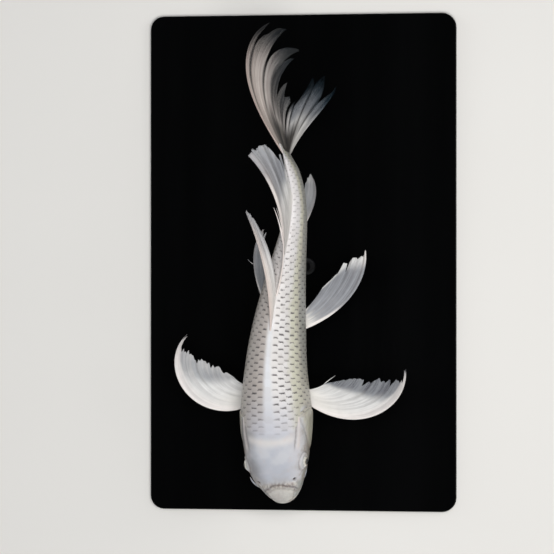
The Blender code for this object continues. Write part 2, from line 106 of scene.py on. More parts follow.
CREST_START, CREST_STOP, CREST_RADIUS = (51 * MM, 61 * MM), (86 * MM, 94 * MM), 34 * MM
SNOUT_FOLD = 18.5 * MM
JAW_START, CREASE_STOP, BAND_STOP = (2 * MM, 6 * MM), (15 * MM, 19 * MM), (18 * MM, 24 * MM)
THROAT_FOLDS, THROAT_START, THROAT_STOP, THROAT_RADIUS = 4, (26 * MM, 36 * MM), (62 * MM, 76 * MM), 30 * MM
CORNEA_BULGE, CORNEA_WIDTH = 0.035, 34  # how far the cornea stands out, and over how many degrees
EYE_RINGS, EYE_COLUMNS = 40, 56
GAZE_OUT, GAZE_ASIDE, GAZE_AHEAD, GAZE_DOWN = 0.8, 0.42, 0.1, 0.05

# --- The skin's mesh.
COLUMNS, HEAD_RINGS, TRUNK_RINGS = 272, 180, 150
HEAD_END = 104 * MM
FINER = ((62, 18, 1.2), (108, 12, 0.5))  # where columns lie closer: degrees from the top, width, how much
STALK_FROM, STALK_THINNING = 332 * MM, 0.75  # the stalk's sides draw in over the root of the tail fin
COAT_DEPTH = 0.5 * MM  # the scales fill this depth, so the skin lies this far inside the body's outline

# --- The scales.
SCALE_SPACING = 7.4 * MM
SPACING_FALL = 0.2  # how much closer the scales follow each other on the tail stalk
SCALE_REACH = 1.75  # a scale's length in spacings, most of it under the scales ahead
SCALE_THICKNESS = 0.17 * MM
SCALE_WIDTH = 1.9  # in row steps, so that each row laps over the next
FIRST_SCALE = 16  # where the count starts, in half scales behind the snout: just ahead of the coat
MIDDLE_ROOM = 0.03  # the rows of the back and belly end where they are this far off the middle
SIDE_ROOM = 0.32  # and the others this many row steps short of it
COAT_NAPE, COAT_SWEEP, COAT_PAST_SLIT = 68 * MM, 10 * MM, 3 * MM  # where the scales start
NAPE_TO, SLIT_FROM = math.radians(40), math.radians(58)
ROWS = 16  # from the middle of the back to the middle of the belly
ROW_STEP, BACK_ROW_EXTRA = math.radians(11.05), math.radians(3.2)
LINE_ROW = 8  # the row that carries the lateral line
ROWS_SPREAD, SPREAD_FROM, SPREAD_TO = 0.65, 185 * MM, 300 * MM
SCALE_COLUMNS, SCALE_STEPS = 6, 4
BARE_TAIL, BARE_ROUND = 4 * MM, 9 * MM  # the stalk's bare end: at its sides, and more of it above and below
ROW_SHIFT, COUNT_SHIFT = 32, 16  # added to the numbers of rows and scales, so that none is below nought
PLATE_DEPTH = 0.05 * MM  # the plate's thickness before it is laid, only so that its rim counts as an edge

# --- The fins. A root runs through places on the body: millimetres behind the snout, degrees from the top and
# --- share of the radius. Each guide ray has its share of the root, its length in millimetres, and in degrees
# --- its heading (0 is tailwards, 90 is to the fish's left), turn, late turn, pitch and lift.
Ray = namedtuple("Ray", "share length heading turn late_turn pitch lift")
Fin = namedtuple("Fin", "root rays")
SUNK = 0.94  # roots start under the skin
PECTORAL_LEFT = Fin(
    root=((98, 118, SUNK), (112, 132, SUNK)),
    rays=(Ray(0, 132.5, 128, -101, -35, -12, 26), Ray(0.3, 102.5, 117, -70, -36, -10, 22),
          Ray(0.6, 72, 112, -65, -27, -8, 18), Ray(0.85, 45, 106, -70, 0, -5, 12),
          Ray(1, 24, 84, -20, -17, -2, 8)))
PECTORAL_RIGHT = Fin(
    root=((98, -118, SUNK), (112, -132, SUNK)),
    rays=(Ray(0, 139.5, -118, 136, 31, -12, 26), Ray(0.3, 105, -106, 99, 38, -10, 22),
          Ray(0.6, 74.5, -101, 77, 35, -8, 18), Ray(0.85, 52, -93, 57, 43, -5, 12),
          Ray(1, 30, -66, -12, 50, -2, 8)))
PELVIC_LEFT = Fin(
    root=((173, 146, SUNK), (188, 150, SUNK)),
    rays=(Ray(0, 115, 71, -50, -29, -12, 14), Ray(0.35, 100.5, 67, -55, -4, -12, 14),
          Ray(0.7, 79, 58, -38, -8, -12, 14), Ray(1, 40.5, 45, -8, -8, -12, 12)))
PELVIC_RIGHT = Fin(
    root=((173, -147, SUNK), (188, -151, SUNK)),
    rays=(Ray(0, 121, -26, -4, 69, -36, 20), Ray(0.35, 114.5, -27, 11, 45, -38, 20),
          Ray(0.7, 92.5, -28, 10, 44, -40, 20), Ray(1, 62.5, -27, 2, 46, -42, 16)))
ANAL = Fin(
    root=((266, 180, SUNK), (279, 180, SUNK), (293, 180, SUNK)),
    rays=(Ray(0, 88, 19, 13, -81, -50, 34), Ray(0.5, 62, 13, 10, -45, -44, 30),
          Ray(1, 40.5, 4, 10, -18, -38, 26)))
DORSAL_FRONT = Fin(
    root=((168, 0, SUNK), (184, 0, SUNK), (200, 0, SUNK)),
    rays=(Ray(0, 135.5, 7, -31, 6, 27, -13), Ray(0.5, 116, 12, -50, 15, 25, -13),
          Ray(1, 96.5, 11, -48, 2.5, 22, -12)))
DORSAL_REAR = Fin(
    root=((203, 0, SUNK), (235, 0, SUNK), (270, 0, SUNK), (306, 0, SUNK)),
    rays=(Ray(0, 156, 22.5, -54, -12, 18, -10), Ray(0.33, 129.5, 18, -56, 2, 20, -12),
          Ray(0.66, 91.5, 9, -47, 20, 22, -12), Ray(1, 45.5, -7, -9, 3, 24, -12)))
CAUDAL = Fin(
    root=((352, 0, 0.88), (352, 180, 0.82)),
    rays=(Ray(0, 150.5, -30, 9, 90, 30, -30), Ray(0.17, 141.5, -28, 26, 77, 24, -24),
          Ray(0.33, 118.5, -17, 2, 104, 16, -16), Ray(0.45, 71, -2, -29, 110, 6, -8),
          Ray(0.55, 60, -1, 6, 48, -4, 4), Ray(0.7, 84.5, 7, 27, -12, -16, 8),
          Ray(0.88, 90, 12, 46, -21, -26, 16), Ray(1, 84.5, 22, 37, -29, -32, 20)))

# How each fin is finished: its number of rays, the height and number of its ruffles, how torn its edge is,
# the stretch of the root that it stands on, how much peach its leading rays have, how grey it turns and from
# which way out, how pale its tips are again, how dim it is outside, its painted shade near its root, and how
# blue it turns.
Look = namedtuple(
    "Look", "fin rays ruffle folds torn start end peach grey grey_from pale_tip dim root_dim blue",
    defaults=(0, 1, 0, 0, 0, 0, 0, 0, 0))
FINS = {
    "pectoral_fin_left": Look(PECTORAL_LEFT, 17, 1.4 * MM, 3.5, 1, grey=1, grey_from=0.6, dim=0.1, blue=0.1),
    "pectoral_fin_right": Look(PECTORAL_RIGHT, 17, 1.4 * MM, 3.5, 1, grey=0.5, grey_from=0.5, pale_tip=0.3),
    "pelvic_fin_left": Look(PELVIC_LEFT, 9, 1.4 * MM, 2.5, 0.8, grey=0.75, pale_tip=0.95, blue=0.05),
    "pelvic_fin_right": Look(PELVIC_RIGHT, 9, 1.4 * MM, 2.5, 0.8, grey=0.65, grey_from=0.12, pale_tip=0.7,
                             dim=0.1),
    "anal_fin": Look(ANAL, 8, 0.7 * MM, 1.5, 0.3, grey=0.5, pale_tip=0.6, dim=0.05, blue=0.1),
    "dorsal_fin_front": Look(DORSAL_FRONT, 7, 1.2 * MM, 2, 0.1, peach=0.6, grey=0.5, grey_from=0.45),
    "dorsal_fin_rear": Look(DORSAL_REAR, 15, 1.6 * MM, 3, 0.25, peach=0.25, grey=0.8, grey_from=0.4,
                            pale_tip=0.35),
    "caudal_fin_upper": Look(CAUDAL, 10, 1.6 * MM, 2.5, 0.6, end=0.495, peach=0.75, grey=0.1, grey_from=0.6,
                             dim=1, root_dim=1, blue=0.35),
    "caudal_fin_lower": Look(CAUDAL, 9, 1.6 * MM, 2.5, 0.6, start=0.51, grey=0.7, grey_from=0.35,
                             dim=1, root_dim=1, blue=0.9),
}

# The torn edge of each fin: at a share of the root, how much of its rays' length the fin reaches.
CAUDAL_EDGE = (
    (0, 1), (0.02, 0.95), (0.045, 0.79), (0.08, 0.9), (0.13, 0.97), (0.165, 1.01), (0.2, 0.92), (0.24, 0.66),
    (0.28, 0.84), (0.33, 1.03), (0.34, 0.98), (0.347, 0.85), (0.354, 0.99), (0.372, 0.86), (0.392, 0.6),
    (0.41, 0.88), (0.435, 0.78), (0.46, 0.88), (0.49, 0.84), (0.515, 0.98), (0.54, 0.84), (0.575, 0.7),
    (0.63, 0.84), (0.67, 1.06), (0.7, 0.94), (0.73, 0.84), (0.78, 1.0), (0.83, 0.88), (0.875, 0.69),
    (0.92, 0.92), (0.95, 1.04), (1, 1))
EDGES = {
    "pectoral_fin_left": ((0, 1), (0.018, 0.97), (0.04, 1.03), (0.075, 0.92), (0.16, 0.96), (0.245, 0.95),
                          (0.27, 0.89), (0.3, 0.96), (0.42, 0.95), (0.45, 1.0), (0.53, 0.96), (0.575, 0.93),
                          (0.61, 0.86), (0.63, 0.98), (0.69, 1.0), (0.78, 1.0), (1, 0.93)),
    "pectoral_fin_right": ((0, 1.02), (0.018, 0.96), (0.03, 1.0), (0.05, 1.03), (0.08, 0.92), (0.23, 0.91),
                           (0.26, 0.95), (0.42, 0.93), (0.49, 0.94), (0.53, 0.99), (0.66, 0.99), (0.7, 0.95),
                           (0.83, 0.99), (0.905, 0.9), (0.94, 0.99), (1, 0.93)),
    "pelvic_fin_left": ((0, 1), (0.12, 0.99), (0.14, 0.96), (0.5, 0.96), (0.56, 0.94), (0.59, 0.8),
                        (0.62, 0.94), (0.72, 1.0), (0.78, 0.9), (1, 0.94)),
    "pelvic_fin_right": ((0, 1), (0.25, 0.97), (0.3, 0.92), (0.36, 0.99), (0.6, 0.95), (0.65, 0.86),
                         (0.7, 0.97), (1, 0.95)),
    "anal_fin": ((0, 0.97), (0.4, 1.0), (0.7, 0.96), (1, 0.82)),
    "dorsal_fin_front": ((0, 0.99), (0.5, 0.97), (1, 0.93)),
    "dorsal_fin_rear": ((0, 1), (0.12, 1.0), (0.27, 1.01), (0.335, 0.985), (0.4, 1), (0.615, 1.02),
                        (0.68, 1.01), (0.725, 0.95), (0.79, 0.88), (0.825, 0.84), (0.85, 0.62), (0.865, 0.44),
                        (0.88, 0.62), (0.9, 0.82), (0.93, 0.98), (1, 1.01)),
    "caudal_fin_upper": CAUDAL_EDGE,
    "caudal_fin_lower": CAUDAL_EDGE,
}

# Where the tail fin's bundles of rays part, as shares of its root: thin gaps of painted shade run down from its
# notches.
CAUDAL_GAPS, GAP_WIDTH = (0.05, 0.24, 0.35, 0.395, 0.44, 0.5, 0.575, 0.73, 0.86), 0.022

# Rays that have come loose from a fin: where they leave it, and their own length, direction and thickness.
Loose = namedtuple("Loose", "share out length heading turn pitch radius")
LOOSE = {
    "pectoral_fin_left": (Loose(1, 0.84, 15.5 * MM, 52, 3, 4, 0.5 * MM),),
    "pelvic_fin_right": (Loose(0.05, 0.66, 9 * MM, -70, 40, 2, 0.35 * MM),),
    "dorsal_fin_rear": (Loose(0.02, 0.34, 42 * MM, -3, -19, 6, 1.0 * MM),
                        Loose(0.05, 0.36, 36 * MM, -2, -17, 7, 0.6 * MM)),
}
LOOSE_STEPS = 24
SHEET_ACROSS, SHEET_ALONG, SHEET_PAST = 161, 64, 1.08  # a fin's grid, and how far it runs past the rays' ends
MEMBRANE_STEPS, MEMBRANE_PER_RAY = 54, 10  # its mesh, from the root outwards and from one ray to the next
MEMBRANE_ROOT, MEMBRANE_EDGE = 1.7 * MM, 0.2 * MM  # its thickness
RAY_ROOT, RAY_BRANCH, RAY_TIP, RAY_SIDES = 0.44 * MM, 0.19 * MM, 0.06 * MM, 6  # radii, and sides
FIRST_BRANCH, SECOND_BRANCH = 0.42, 0.68  # where along the way a ray's branches part

# Each barbel's root, size and direction in degrees. Those on the left hang back and down by the cheek, and
# the one at the right corner of the mouth stands out.
Barbel = namedtuple("Barbel", "behind angle length radius heading turn pitch")
BARBELS = (Barbel(7 * MM, 118, 11 * MM, 0.9 * MM, 40, -40, -50),
           Barbel(7 * MM, -98, 11 * MM, 0.9 * MM, -48, 26, -24),
           Barbel(17.5 * MM, 132, 20 * MM, 1.3 * MM, 42, -42, -52),
           Barbel(17.5 * MM, -112, 21 * MM, 1.3 * MM, -95, 70, -38))
BARBEL_SUNK, BARBEL_DROOP, BARBEL_STEPS, BARBEL_SIDES = 0.93, 16, 26, 10  # the droop is in degrees

# --- The stand and the studio.
RODS = ("stand_rod_front", "stand_rod_rear")
ROD_RADIUS, ROD_SIDES, ROD_INSIDE = 3.5 * MM, 40, 1.2 * MM  # it runs on a little way inside the belly
ROD_FILLET, FILLET_MIDDLE = 1.2 * MM, 0.35 * MM  # the soft corner between rod and foot
FOOT_RADIUS, FOOT_HEIGHT, FOOT_ROUND, FOOT_BEVEL = 9 * MM, 3 * MM, 0.5 * MM, 0.8 * MM
FLOOR_HALF, FLOOR_LEVEL = 4.0, -0.2 * MM
WORLD_COLOUR, WORLD_STRENGTH = (0.75, 0.77, 0.8, 1), 0.16
AIM = Vector((-0.006, -0.015, 0.130))  # what the camera looks at
CAMERA_TILT, CAMERA_DISTANCE, VIEW_WIDTH, SENSOR = math.radians(9.5), 3.2, 0.554, 36.0


# ======================================================================================================
# Shape of the body
# ======================================================================================================

def natural_spline(xs, ys):
    """The smooth curve through the points, straight at both ends, as a function of x."""
    xs, ys = np.asarray(xs, float), np.asarray(ys, float)
    step = np.diff(xs)
    slope = np.diff(ys) / step
    last = len(xs) - 1
    rows, right = np.eye(last + 1), np.zeros(last + 1)
    for i in range(1, last):
        rows[i, i - 1 : i + 2] = step[i - 1], 2 * (step[i - 1] + step[i]), step[i]
        right[i] = 6 * (slope[i] - slope[i - 1])
    bend = np.linalg.solve(rows, right)

    def value(x):
        x = np.asarray(x, float)
        i = np.clip(np.searchsorted(xs, x) - 1, 0, last - 1)
        before, after, wide = x - xs[i], xs[i + 1] - x, step[i]
        cubic = (bend[i] * after**3 + bend[i + 1] * before**3) / (6 * wide)
        return (cubic + (ys[i] / wide - bend[i] * wide / 6) * after
                + (ys[i + 1] / wide - bend[i + 1] * wide / 6) * before)

    return value


STATIONS = np.linspace(0, 1, len(HALF_WIDTH))
half_width = natural_spline(STATIONS, np.array(HALF_WIDTH) * MM)
back_height = natural_spline(STATIONS, np.array(BACK) * MM)
belly_height = natural_spline(STATIONS, np.array(BELLY) * MM)
squareness = natural_spline(STATIONS, SQUARENESS)
midline_left = natural_spline(np.array(MIDLINE_BEHIND) * MM, np.array(MIDLINE_LEFT) * MM)


def midline(distance):
    """The midline's x and y at a distance along it, and its direction there."""
    behind = np.linspace(0, MIDLINE_BEHIND[-1] * MM * MIDLINE_REACH, MIDLINE_SAMPLES)
    left = midline_left(behind)
    run = np.concatenate([[0], np.cumsum(np.hypot(np.diff(behind), np.diff(left)))])
    at = np.interp(distance, run, behind)
    slope = (midline_left(at + MM) - midline_left(at - MM)) / (2 * MM)
    size = np.hypot(slope, 1)
    return midline_left(at) + SNOUT_X, at + SNOUT_Y, slope / size, 1 / size


def body_point(distance, angle, share=1.0):
    """The place at a distance behind the snout and an angle from the top, at a share of the radius."""
    distance, angle = np.broadcast_arrays(np.asarray(distance, float), np.asarray(angle, float))
    q = np.sqrt(np.clip(distance, 0, None) / STANDARD_LENGTH)
    top, low = back_height(q), belly_height(q)
    middle = (top + low) / 2 - WIDEST_BELOW_MIDDLE * np.clip(2 * q, 0, 1)
    side, up = np.sin(angle), np.cos(angle)
    power = squareness(q)
    size = (np.abs(side) ** power + np.abs(up) ** power) ** (1 / power)
    across = share * (half_width(q) * side / size + brow_swell(distance, angle) * np.sign(side))
    height = middle + share * np.where(up >= 0, top - middle, middle - low) * up / size
    x, y, lean, ahead = midline(distance)
    x = x + muzzle_shift(distance)
    return np.stack([x + across * ahead, y - across * lean, AXIS_HEIGHT + height], -1)


def muzzle_shift(distance):
    """How far the muzzle stands to the fish's left, rising smoothly towards its tip."""
    t = np.clip((distance - MUZZLE_FROM) / (MUZZLE_TO - MUZZLE_FROM), 0, 1)
    return MUZZLE_LEFT * t * t * (3 - 2 * t)


def brow_swell(distance, angle):
    """How far the head swells round the eyes."""
    turned = np.abs((angle + math.pi) % (2 * math.pi) - math.pi)
    behind = (distance - EYE_BEHIND) / BROW_SPREAD
    around = (turned - EYE_ANGLE) * half_width(math.sqrt(EYE_BEHIND / STANDARD_LENGTH)) / BROW_SPREAD
    return BROW_HEIGHT * np.exp(-(behind**2 + around**2))


def gill_edge(angle):
    """How far behind the snout the gill covers end."""
    level = (NAPE + THROAT) / 2 + (NAPE - THROAT) / 2 * np.cos(angle)
    return level + GILL_SWEEP * np.abs(np.sin(angle)) ** GILL_ROUNDNESS


def ramp(x, low, high):
    """A smooth rise from 0 at low to 1 at high."""
    t = np.clip((x - low) / (high - low), 0, 1)
    return t * t * (3 - 2 * t)


def between(x, start, stop):
    """A smooth rise over the stretch called start, and a smooth fall over the one called stop."""
    return ramp(x, *start) * (1 - ramp(x, *stop))


def hill(x, width):
    return np.exp(-((x / width) ** 2))


def scale_edge(angle):
    """How far behind the snout the scales start: behind the nape above, and behind the gill slit below it."""
    turned = np.abs(angle)
    nape = COAT_NAPE + COAT_SWEEP * np.sin(np.minimum(turned, math.pi / 2)) ** 2
    behind_slit = gill_edge(turned) + COAT_PAST_SLIT
    return nape + (behind_slit - nape) * ramp(turned, NAPE_TO, SLIT_FROM)


# ======================================================================================================
# Making meshes
# ======================================================================================================

def mesh_object(name, points, faces=(), finish=None, smooth=True, edges=()):
    mesh = bpy.data.meshes.new(name)
    mesh.from_pydata(np.asarray(points).tolist(), edges, faces)
    if smooth:
        mesh.shade_smooth()
    if finish:
        mesh.materials.append(finish)
    obj = bpy.data.objects.new(name, mesh)
    bpy.context.scene.collection.objects.link(obj)
    return obj


def store(mesh, name, *parts):
    """Writes each point's number, or vector in one part or three, for the finishes and the trees to read."""
    values = parts[0] if len(parts) == 1 else np.stack(np.broadcast_arrays(*parts), -1)
    kind, field = ("FLOAT", "value") if np.ndim(values) == 1 else ("FLOAT_VECTOR", "vector")
    attribute = mesh.attributes.new(name, kind, "POINT")
    attribute.data.foreach_set(field, np.ascontiguousarray(values, np.float32).ravel())


def stored(mesh, name):
    """Reads back the number or the vector of each point."""
    attribute = mesh.attributes[name]
    field, size = ("value", 1) if attribute.data_type == "FLOAT" else ("vector", 3)
    values = np.empty(len(mesh.vertices) * size, np.float32)
    attribute.data.foreach_get(field, values)
    return values if size == 1 else values.reshape(-1, size)


def store_map(mesh, places):
    """Lays the mesh's corners out on the map named OFBake, from one place for each point."""
    corners = np.empty(len(mesh.loops), np.int32)
    mesh.loops.foreach_get("vertex_index", corners)
    layer = mesh.uv_layers.new(name="OFBake")
    layer.uv.foreach_set("vector", np.ascontiguousarray(places[corners], np.float32).ravel())


def grid_faces(rows, columns, start=0, closed=False, flip=False):
    """The quads of a grid of points, row by row. A closed grid joins its last column to its first."""
    i, j = np.meshgrid(np.arange(rows - 1), np.arange(columns if closed else columns - 1), indexing="ij")
    k = (j + 1) % columns
    quads = np.stack([i * columns + j, i * columns + k, (i + 1) * columns + k, (i + 1) * columns + j], -1)
    quads = quads.reshape(-1, 4) + start
    return (quads[:, ::-1] if flip else quads).tolist()


def capped_faces(rings, columns, flip=False):
    """The faces of a body of closed rings, whose first point and last point close its two ends."""
    last = 1 + rings * columns
    pairs = [(j, (j + 1) % columns)[:: -1 if flip else 1] for j in range(columns)]
    faces = grid_faces(rings, columns, 1, True, flip)
    faces += [[0, 1 + b, 1 + a] for a, b in pairs]
    faces += [[last, last - columns + a, last - columns + b] for a, b in pairs]
    return faces


def ring_normals(points):
    """Outward normals of closed rings that run tailwards, each turning from the top to the left."""
    along = np.gradient(points, axis=0)
    around = np.roll(points, -1, axis=1) - np.roll(points, 1, axis=1)
    normal = np.cross(around, along)
    return normal / np.maximum(np.linalg.norm(normal, axis=2), 1e-12)[..., None]


def unit(vector):
    return vector / np.linalg.norm(vector, axis=-1, keepdims=True)


class Tree:
    """A node tree in the making. Nodes are added with their settings and with what feeds their sockets."""

    def __init__(self, tree):
        self.tree = tree

    def add(self, kind, inputs=(), **settings):
        node = self.tree.nodes.new(kind)
        for name, value in settings.items():
            setattr(node, name, value)
        for socket, value in dict(inputs).items():
            self.feed(node.inputs[socket], value)
        return node

    def feed(self, socket, value):
        if isinstance(value, bpy.types.NodeSocket):
            self.tree.links.new(value, socket)
        elif value is not None:
            socket.default_value = value


class Shape(Tree):
    """A Geometry Nodes tree with named inputs."""

    def __init__(self, name, inputs):
        super().__init__(bpy.data.node_groups.new(name, "GeometryNodeTree"))
        self.tree.is_modifier = True
        face = self.tree.interface
        face.new_socket(name="Geometry", in_out="OUTPUT", socket_type="NodeSocketGeometry")
        face.new_socket(name="Geometry", in_out="INPUT", socket_type="NodeSocketGeometry")
        for label, kind in inputs.items():
            face.new_socket(name=label, in_out="INPUT", socket_type="NodeSocket" + kind)
        self.inputs = self.add("NodeGroupInput").outputs

    def named(self, name, kind="FLOAT"):
        node = self.add("GeometryNodeInputNamedAttribute", {"Name": name}, data_type=kind)
        return node.outputs["Attribute"]

    def maths(self, operation, a, b):
        return self.add("ShaderNodeMath", {0: a, 1: b}, operation=operation).outputs[0]

    def vectors(self, operation, a, b):
        """Maths on two vectors. To scale a vector, the second is a number."""
        other = "Scale" if operation == "SCALE" else 1
        return self.add("ShaderNodeVectorMath", {0: a, other: b}, operation=operation).outputs[0]

    def nearest(self, surface, value, kind="FLOAT_VECTOR"):
        """What the value is at the nearest place on a surface."""
        sample = self.add("GeometryNodeSampleNearestSurface", {"Mesh": surface}, data_type=kind)
        self.feed(live(sample.inputs), value)
        return live(sample.outputs)

    def coloured(self, geometry, material):
        return self.add("GeometryNodeSetMaterial", {"Geometry": geometry, "Material": material}).outputs[0]

    def end(self, geometry, material=None):
        geometry = self.add("GeometryNodeRealizeInstances", {"Geometry": geometry}).outputs[0]
        if material:
            geometry = self.coloured(geometry, material)
        self.add("NodeGroupOutput", {0: geometry})
        return self.tree


def live(sockets):
    """The socket called Value that the node uses for its kind of data."""
    return next(socket for socket in sockets if socket.enabled and socket.name == "Value")


def grown(obj, tree, values):
    """Runs a tree on an object with these inputs and keeps the result as the object's own mesh."""
    modifier = obj.modifiers.new(tree.name, "NODES")
    modifier.node_group = tree
    for item in tree.interface.items_tree:
        if item.in_out == "INPUT" and item.name in values:
            modifier[item.identifier] = values[item.name]
    graph = bpy.context.evaluated_depsgraph_get()
    mesh = bpy.data.meshes.new_from_object(obj.evaluated_get(graph))
    obj.modifiers.remove(modifier)
    old, obj.data = obj.data, mesh
    name = old.name
    bpy.data.meshes.remove(old)
    mesh.name = name


# ======================================================================================================
# Finishes
# ======================================================================================================

class Value:
    """A shader socket that can be used in sums."""

    def __init__(self, finish, socket):
        self.finish, self.socket = finish, socket

    def __add__(self, other):
        return self.finish.maths("ADD", self, other)

    def __sub__(self, other):
        return self.finish.maths("SUBTRACT", self, other)

    def __rsub__(self, other):
        return self.finish.maths("SUBTRACT", other, self)

    def __mul__(self, other):
        return self.finish.maths("MULTIPLY", self, other)

    __radd__, __rmul__ = __add__, __mul__


class Finish(Tree):
    """A material on a Principled shader, whose constants are set by name."""

    def __init__(self, name, **constants):
        self.material = bpy.data.materials.new(name)
        self.material.use_nodes = True
        super().__init__(self.material.node_tree)
        self.shader = self.tree.nodes["Principled BSDF"]
        for label, value in constants.items():
            self.shader.inputs[label.replace("_", " ")].default_value = value

    def feed(self, socket, value):
        super().feed(socket, value.socket if isinstance(value, Value) else value)

    def node(self, kind, inputs=(), out=0, **settings):
        return Value(self, self.add(kind, inputs, **settings).outputs[out])

    def maths(self, operation, *values):
        return self.node("ShaderNodeMath", dict(enumerate(values)), operation=operation)

    def clamped(self, value):
        return self.node("ShaderNodeClamp", {"Value": value})

    def parts(self, vector):
        made = self.add("ShaderNodeSeparateXYZ", {0: vector})
        return [Value(self, socket) for socket in made.outputs]

    def stored(self, name):
        """The three numbers that the mesh has under this name."""
        return self.parts(self.node("ShaderNodeAttribute", out="Vector", attribute_name=name))

    def ramp(self, value, low, high, start=0.0, end=1.0):
        """A smooth rise from start, where the value is low, to end, where it is high."""
        return self.node("ShaderNodeMapRange", {"Value": value, "From Min": low, "From Max": high,
                                                "To Min": start, "To Max": end},
                         interpolation_type="SMOOTHSTEP")

    def hill(self, value, centre, width):
        """1 where the value is at the centre, and 0 more than a width from it."""
        return self.ramp(self.maths("ABSOLUTE", value - centre), width, 0.0)

    def mix(self, share, first, second):
        """The first colour where the share is 0 and the second where it is 1: the node's inputs 6 and 7."""
        first, second = ((*value, 1.0) if isinstance(value, tuple) else value for value in (first, second))
        return self.node("ShaderNodeMix", {"Factor": share, 6: first, 7: second}, out=2, data_type="RGBA")

    def over(self, base, *layers):
        """Lays colours over a colour one after another, each by its share."""
        for share, rgb in layers:
            base = self.mix(share, base, rgb)
        return base

    def noise(self, scale, detail=3.0, roughness=0.5, vector=None):
        vector = vector or self.node("ShaderNodeTexCoord", out="Object")
        return self.node("ShaderNodeTexNoise", {"Vector": vector, "Scale": scale, "Detail": detail,
                                                "Roughness": roughness})

    def stretched(self, scale):
        """Object coordinates stretched along some of the axes."""
        return self.node("ShaderNodeMapping", {"Vector": self.node("ShaderNodeTexCoord", out="Object"),
                                               "Scale": scale})

    def set(self, **links):
        for label, value in links.items():
            self.feed(self.shader.inputs[label.replace("_", " ")], value)

    def bump(self, height, distance, strength):
        self.set(Normal=self.node("ShaderNodeBump", {"Height": height, "Distance": distance,
                                                     "Strength": strength}))


STRIPE = (0.70, 0.72, 0.76)
BACK_LEFT, SHOULDER_LEFT, FLANK_LEFT = (0.75, 0.73, 0.73), (0.67, 0.66, 0.54), (0.60, 0.57, 0.48)
# Grey for the low left flank towards the tail: mostly painted shade of the steep flank, partly its own darker
# grey.
LOW_FLANK_GREY_AND_SHADE = (0.40, 0.41, 0.39)
# Painted light and shade, partly the back's own tone: the fish's left side, towards the light, is lighter, and
# its right side darker.
BACK_RIGHT_SHADED, FLANK_RIGHT_SHADED = (0.46, 0.42, 0.40), (0.46, 0.42, 0.375)
REAR = (0.74, 0.72, 0.73)
BELLY_WHITE = (0.66, 0.64, 0.60)
# Painted light and shade on the head: the left temple and cheek, towards the light, are lighter, and the right
# ones darker.
CROWN, TEMPLE_LEFT, TEMPLE_RIGHT_SHADED = (0.49, 0.51, 0.57), (0.60, 0.60, 0.64), (0.28, 0.28, 0.30)
CHEEK_LEFT, CHEEK_RIGHT_SHADED = (0.36, 0.34, 0.30), (0.21, 0.19, 0.17)
DASH = (0.07, 0.065, 0.07)


def body_colour(f):
    """The colour of skin and scales by their place on the body, with the net of dark dashes over it."""
    far, turned, edge = f.stored("body_place")  # share of the length, turns from the top, past the head
    row, along, _ = f.stored("scale_place")
    away = f.maths("ABSOLUTE", turned)
    left = f.ramp(turned, -0.02, 0.02)
    cloud = f.noise(38.0, 4.0) - 0.5
    speckle = f.noise(170.0, 3.0, 0.6) - 0.5
    place = away + cloud * 0.05 + speckle * 0.05
    on_left = f.over(BACK_LEFT,
                     (f.ramp(place, 0.095, 0.14), SHOULDER_LEFT),
                     (f.ramp(place, 0.15, 0.19), FLANK_LEFT),
                     # painted shade, partly darker pigment: the low left flank greyer towards the tail
                     (f.ramp(place, 0.17, 0.2) * f.ramp(far, 0.3, 0.45, 0.1, 0.85), LOW_FLANK_GREY_AND_SHADE))
    # painted shade, partly the side's own tone: the right back and flank darker than the left
    on_right = f.mix(f.ramp(place, 0.08, 0.2), BACK_RIGHT_SHADED, FLANK_RIGHT_SHADED)
    stripe = f.ramp(away + cloud * 0.014 + f.ramp(far, 0.24, 0.42, -0.01, 0.0), 0.028, 0.0)
    by_head = (1 - f.ramp(far, 0.2, 0.34)) * f.ramp(away, 0.16, 0.06)
    beside = (1 - f.ramp(far, 0.24, 0.36)) * f.ramp(away, 0.1, 0.15)
    base = f.over(f.mix(left, on_right, on_left),
                  (f.ramp(far, 0.55, 0.8) * f.ramp(place, 0.16, 0.1), REAR),
                  (f.ramp(away, 0.27, 0.4), BELLY_WHITE),
                  (stripe * f.ramp(far, 0.6, 0.45), STRIPE),
                  (by_head * 0.75, (0.52, 0.53, 0.60)),
                  (beside * 0.45, (0.40, 0.38, 0.33)),
                  (f.ramp(speckle, 0.02, 0.2) * f.ramp(away, 0.03, 0.08) * 0.22, (0.36, 0.34, 0.33)))
    base = dashed(f, base, row, along, away, far)
    head = f.over(CROWN,
                  # painted light and shade: the left temple and cheek lighter, the right ones darker
                  (f.ramp(away + cloud * 0.1, 0.05, 0.14), f.mix(left, TEMPLE_RIGHT_SHADED, TEMPLE_LEFT)),
                  (f.ramp(away + cloud * 0.06, 0.14, 0.21), f.mix(left, CHEEK_RIGHT_SHADED, CHEEK_LEFT)),
                  (f.ramp(away, 0.3, 0.42), BELLY_WHITE))
    scaled = f.ramp(edge, 0.0, 1.0)
    return f.mix(scaled, head, base), scaled


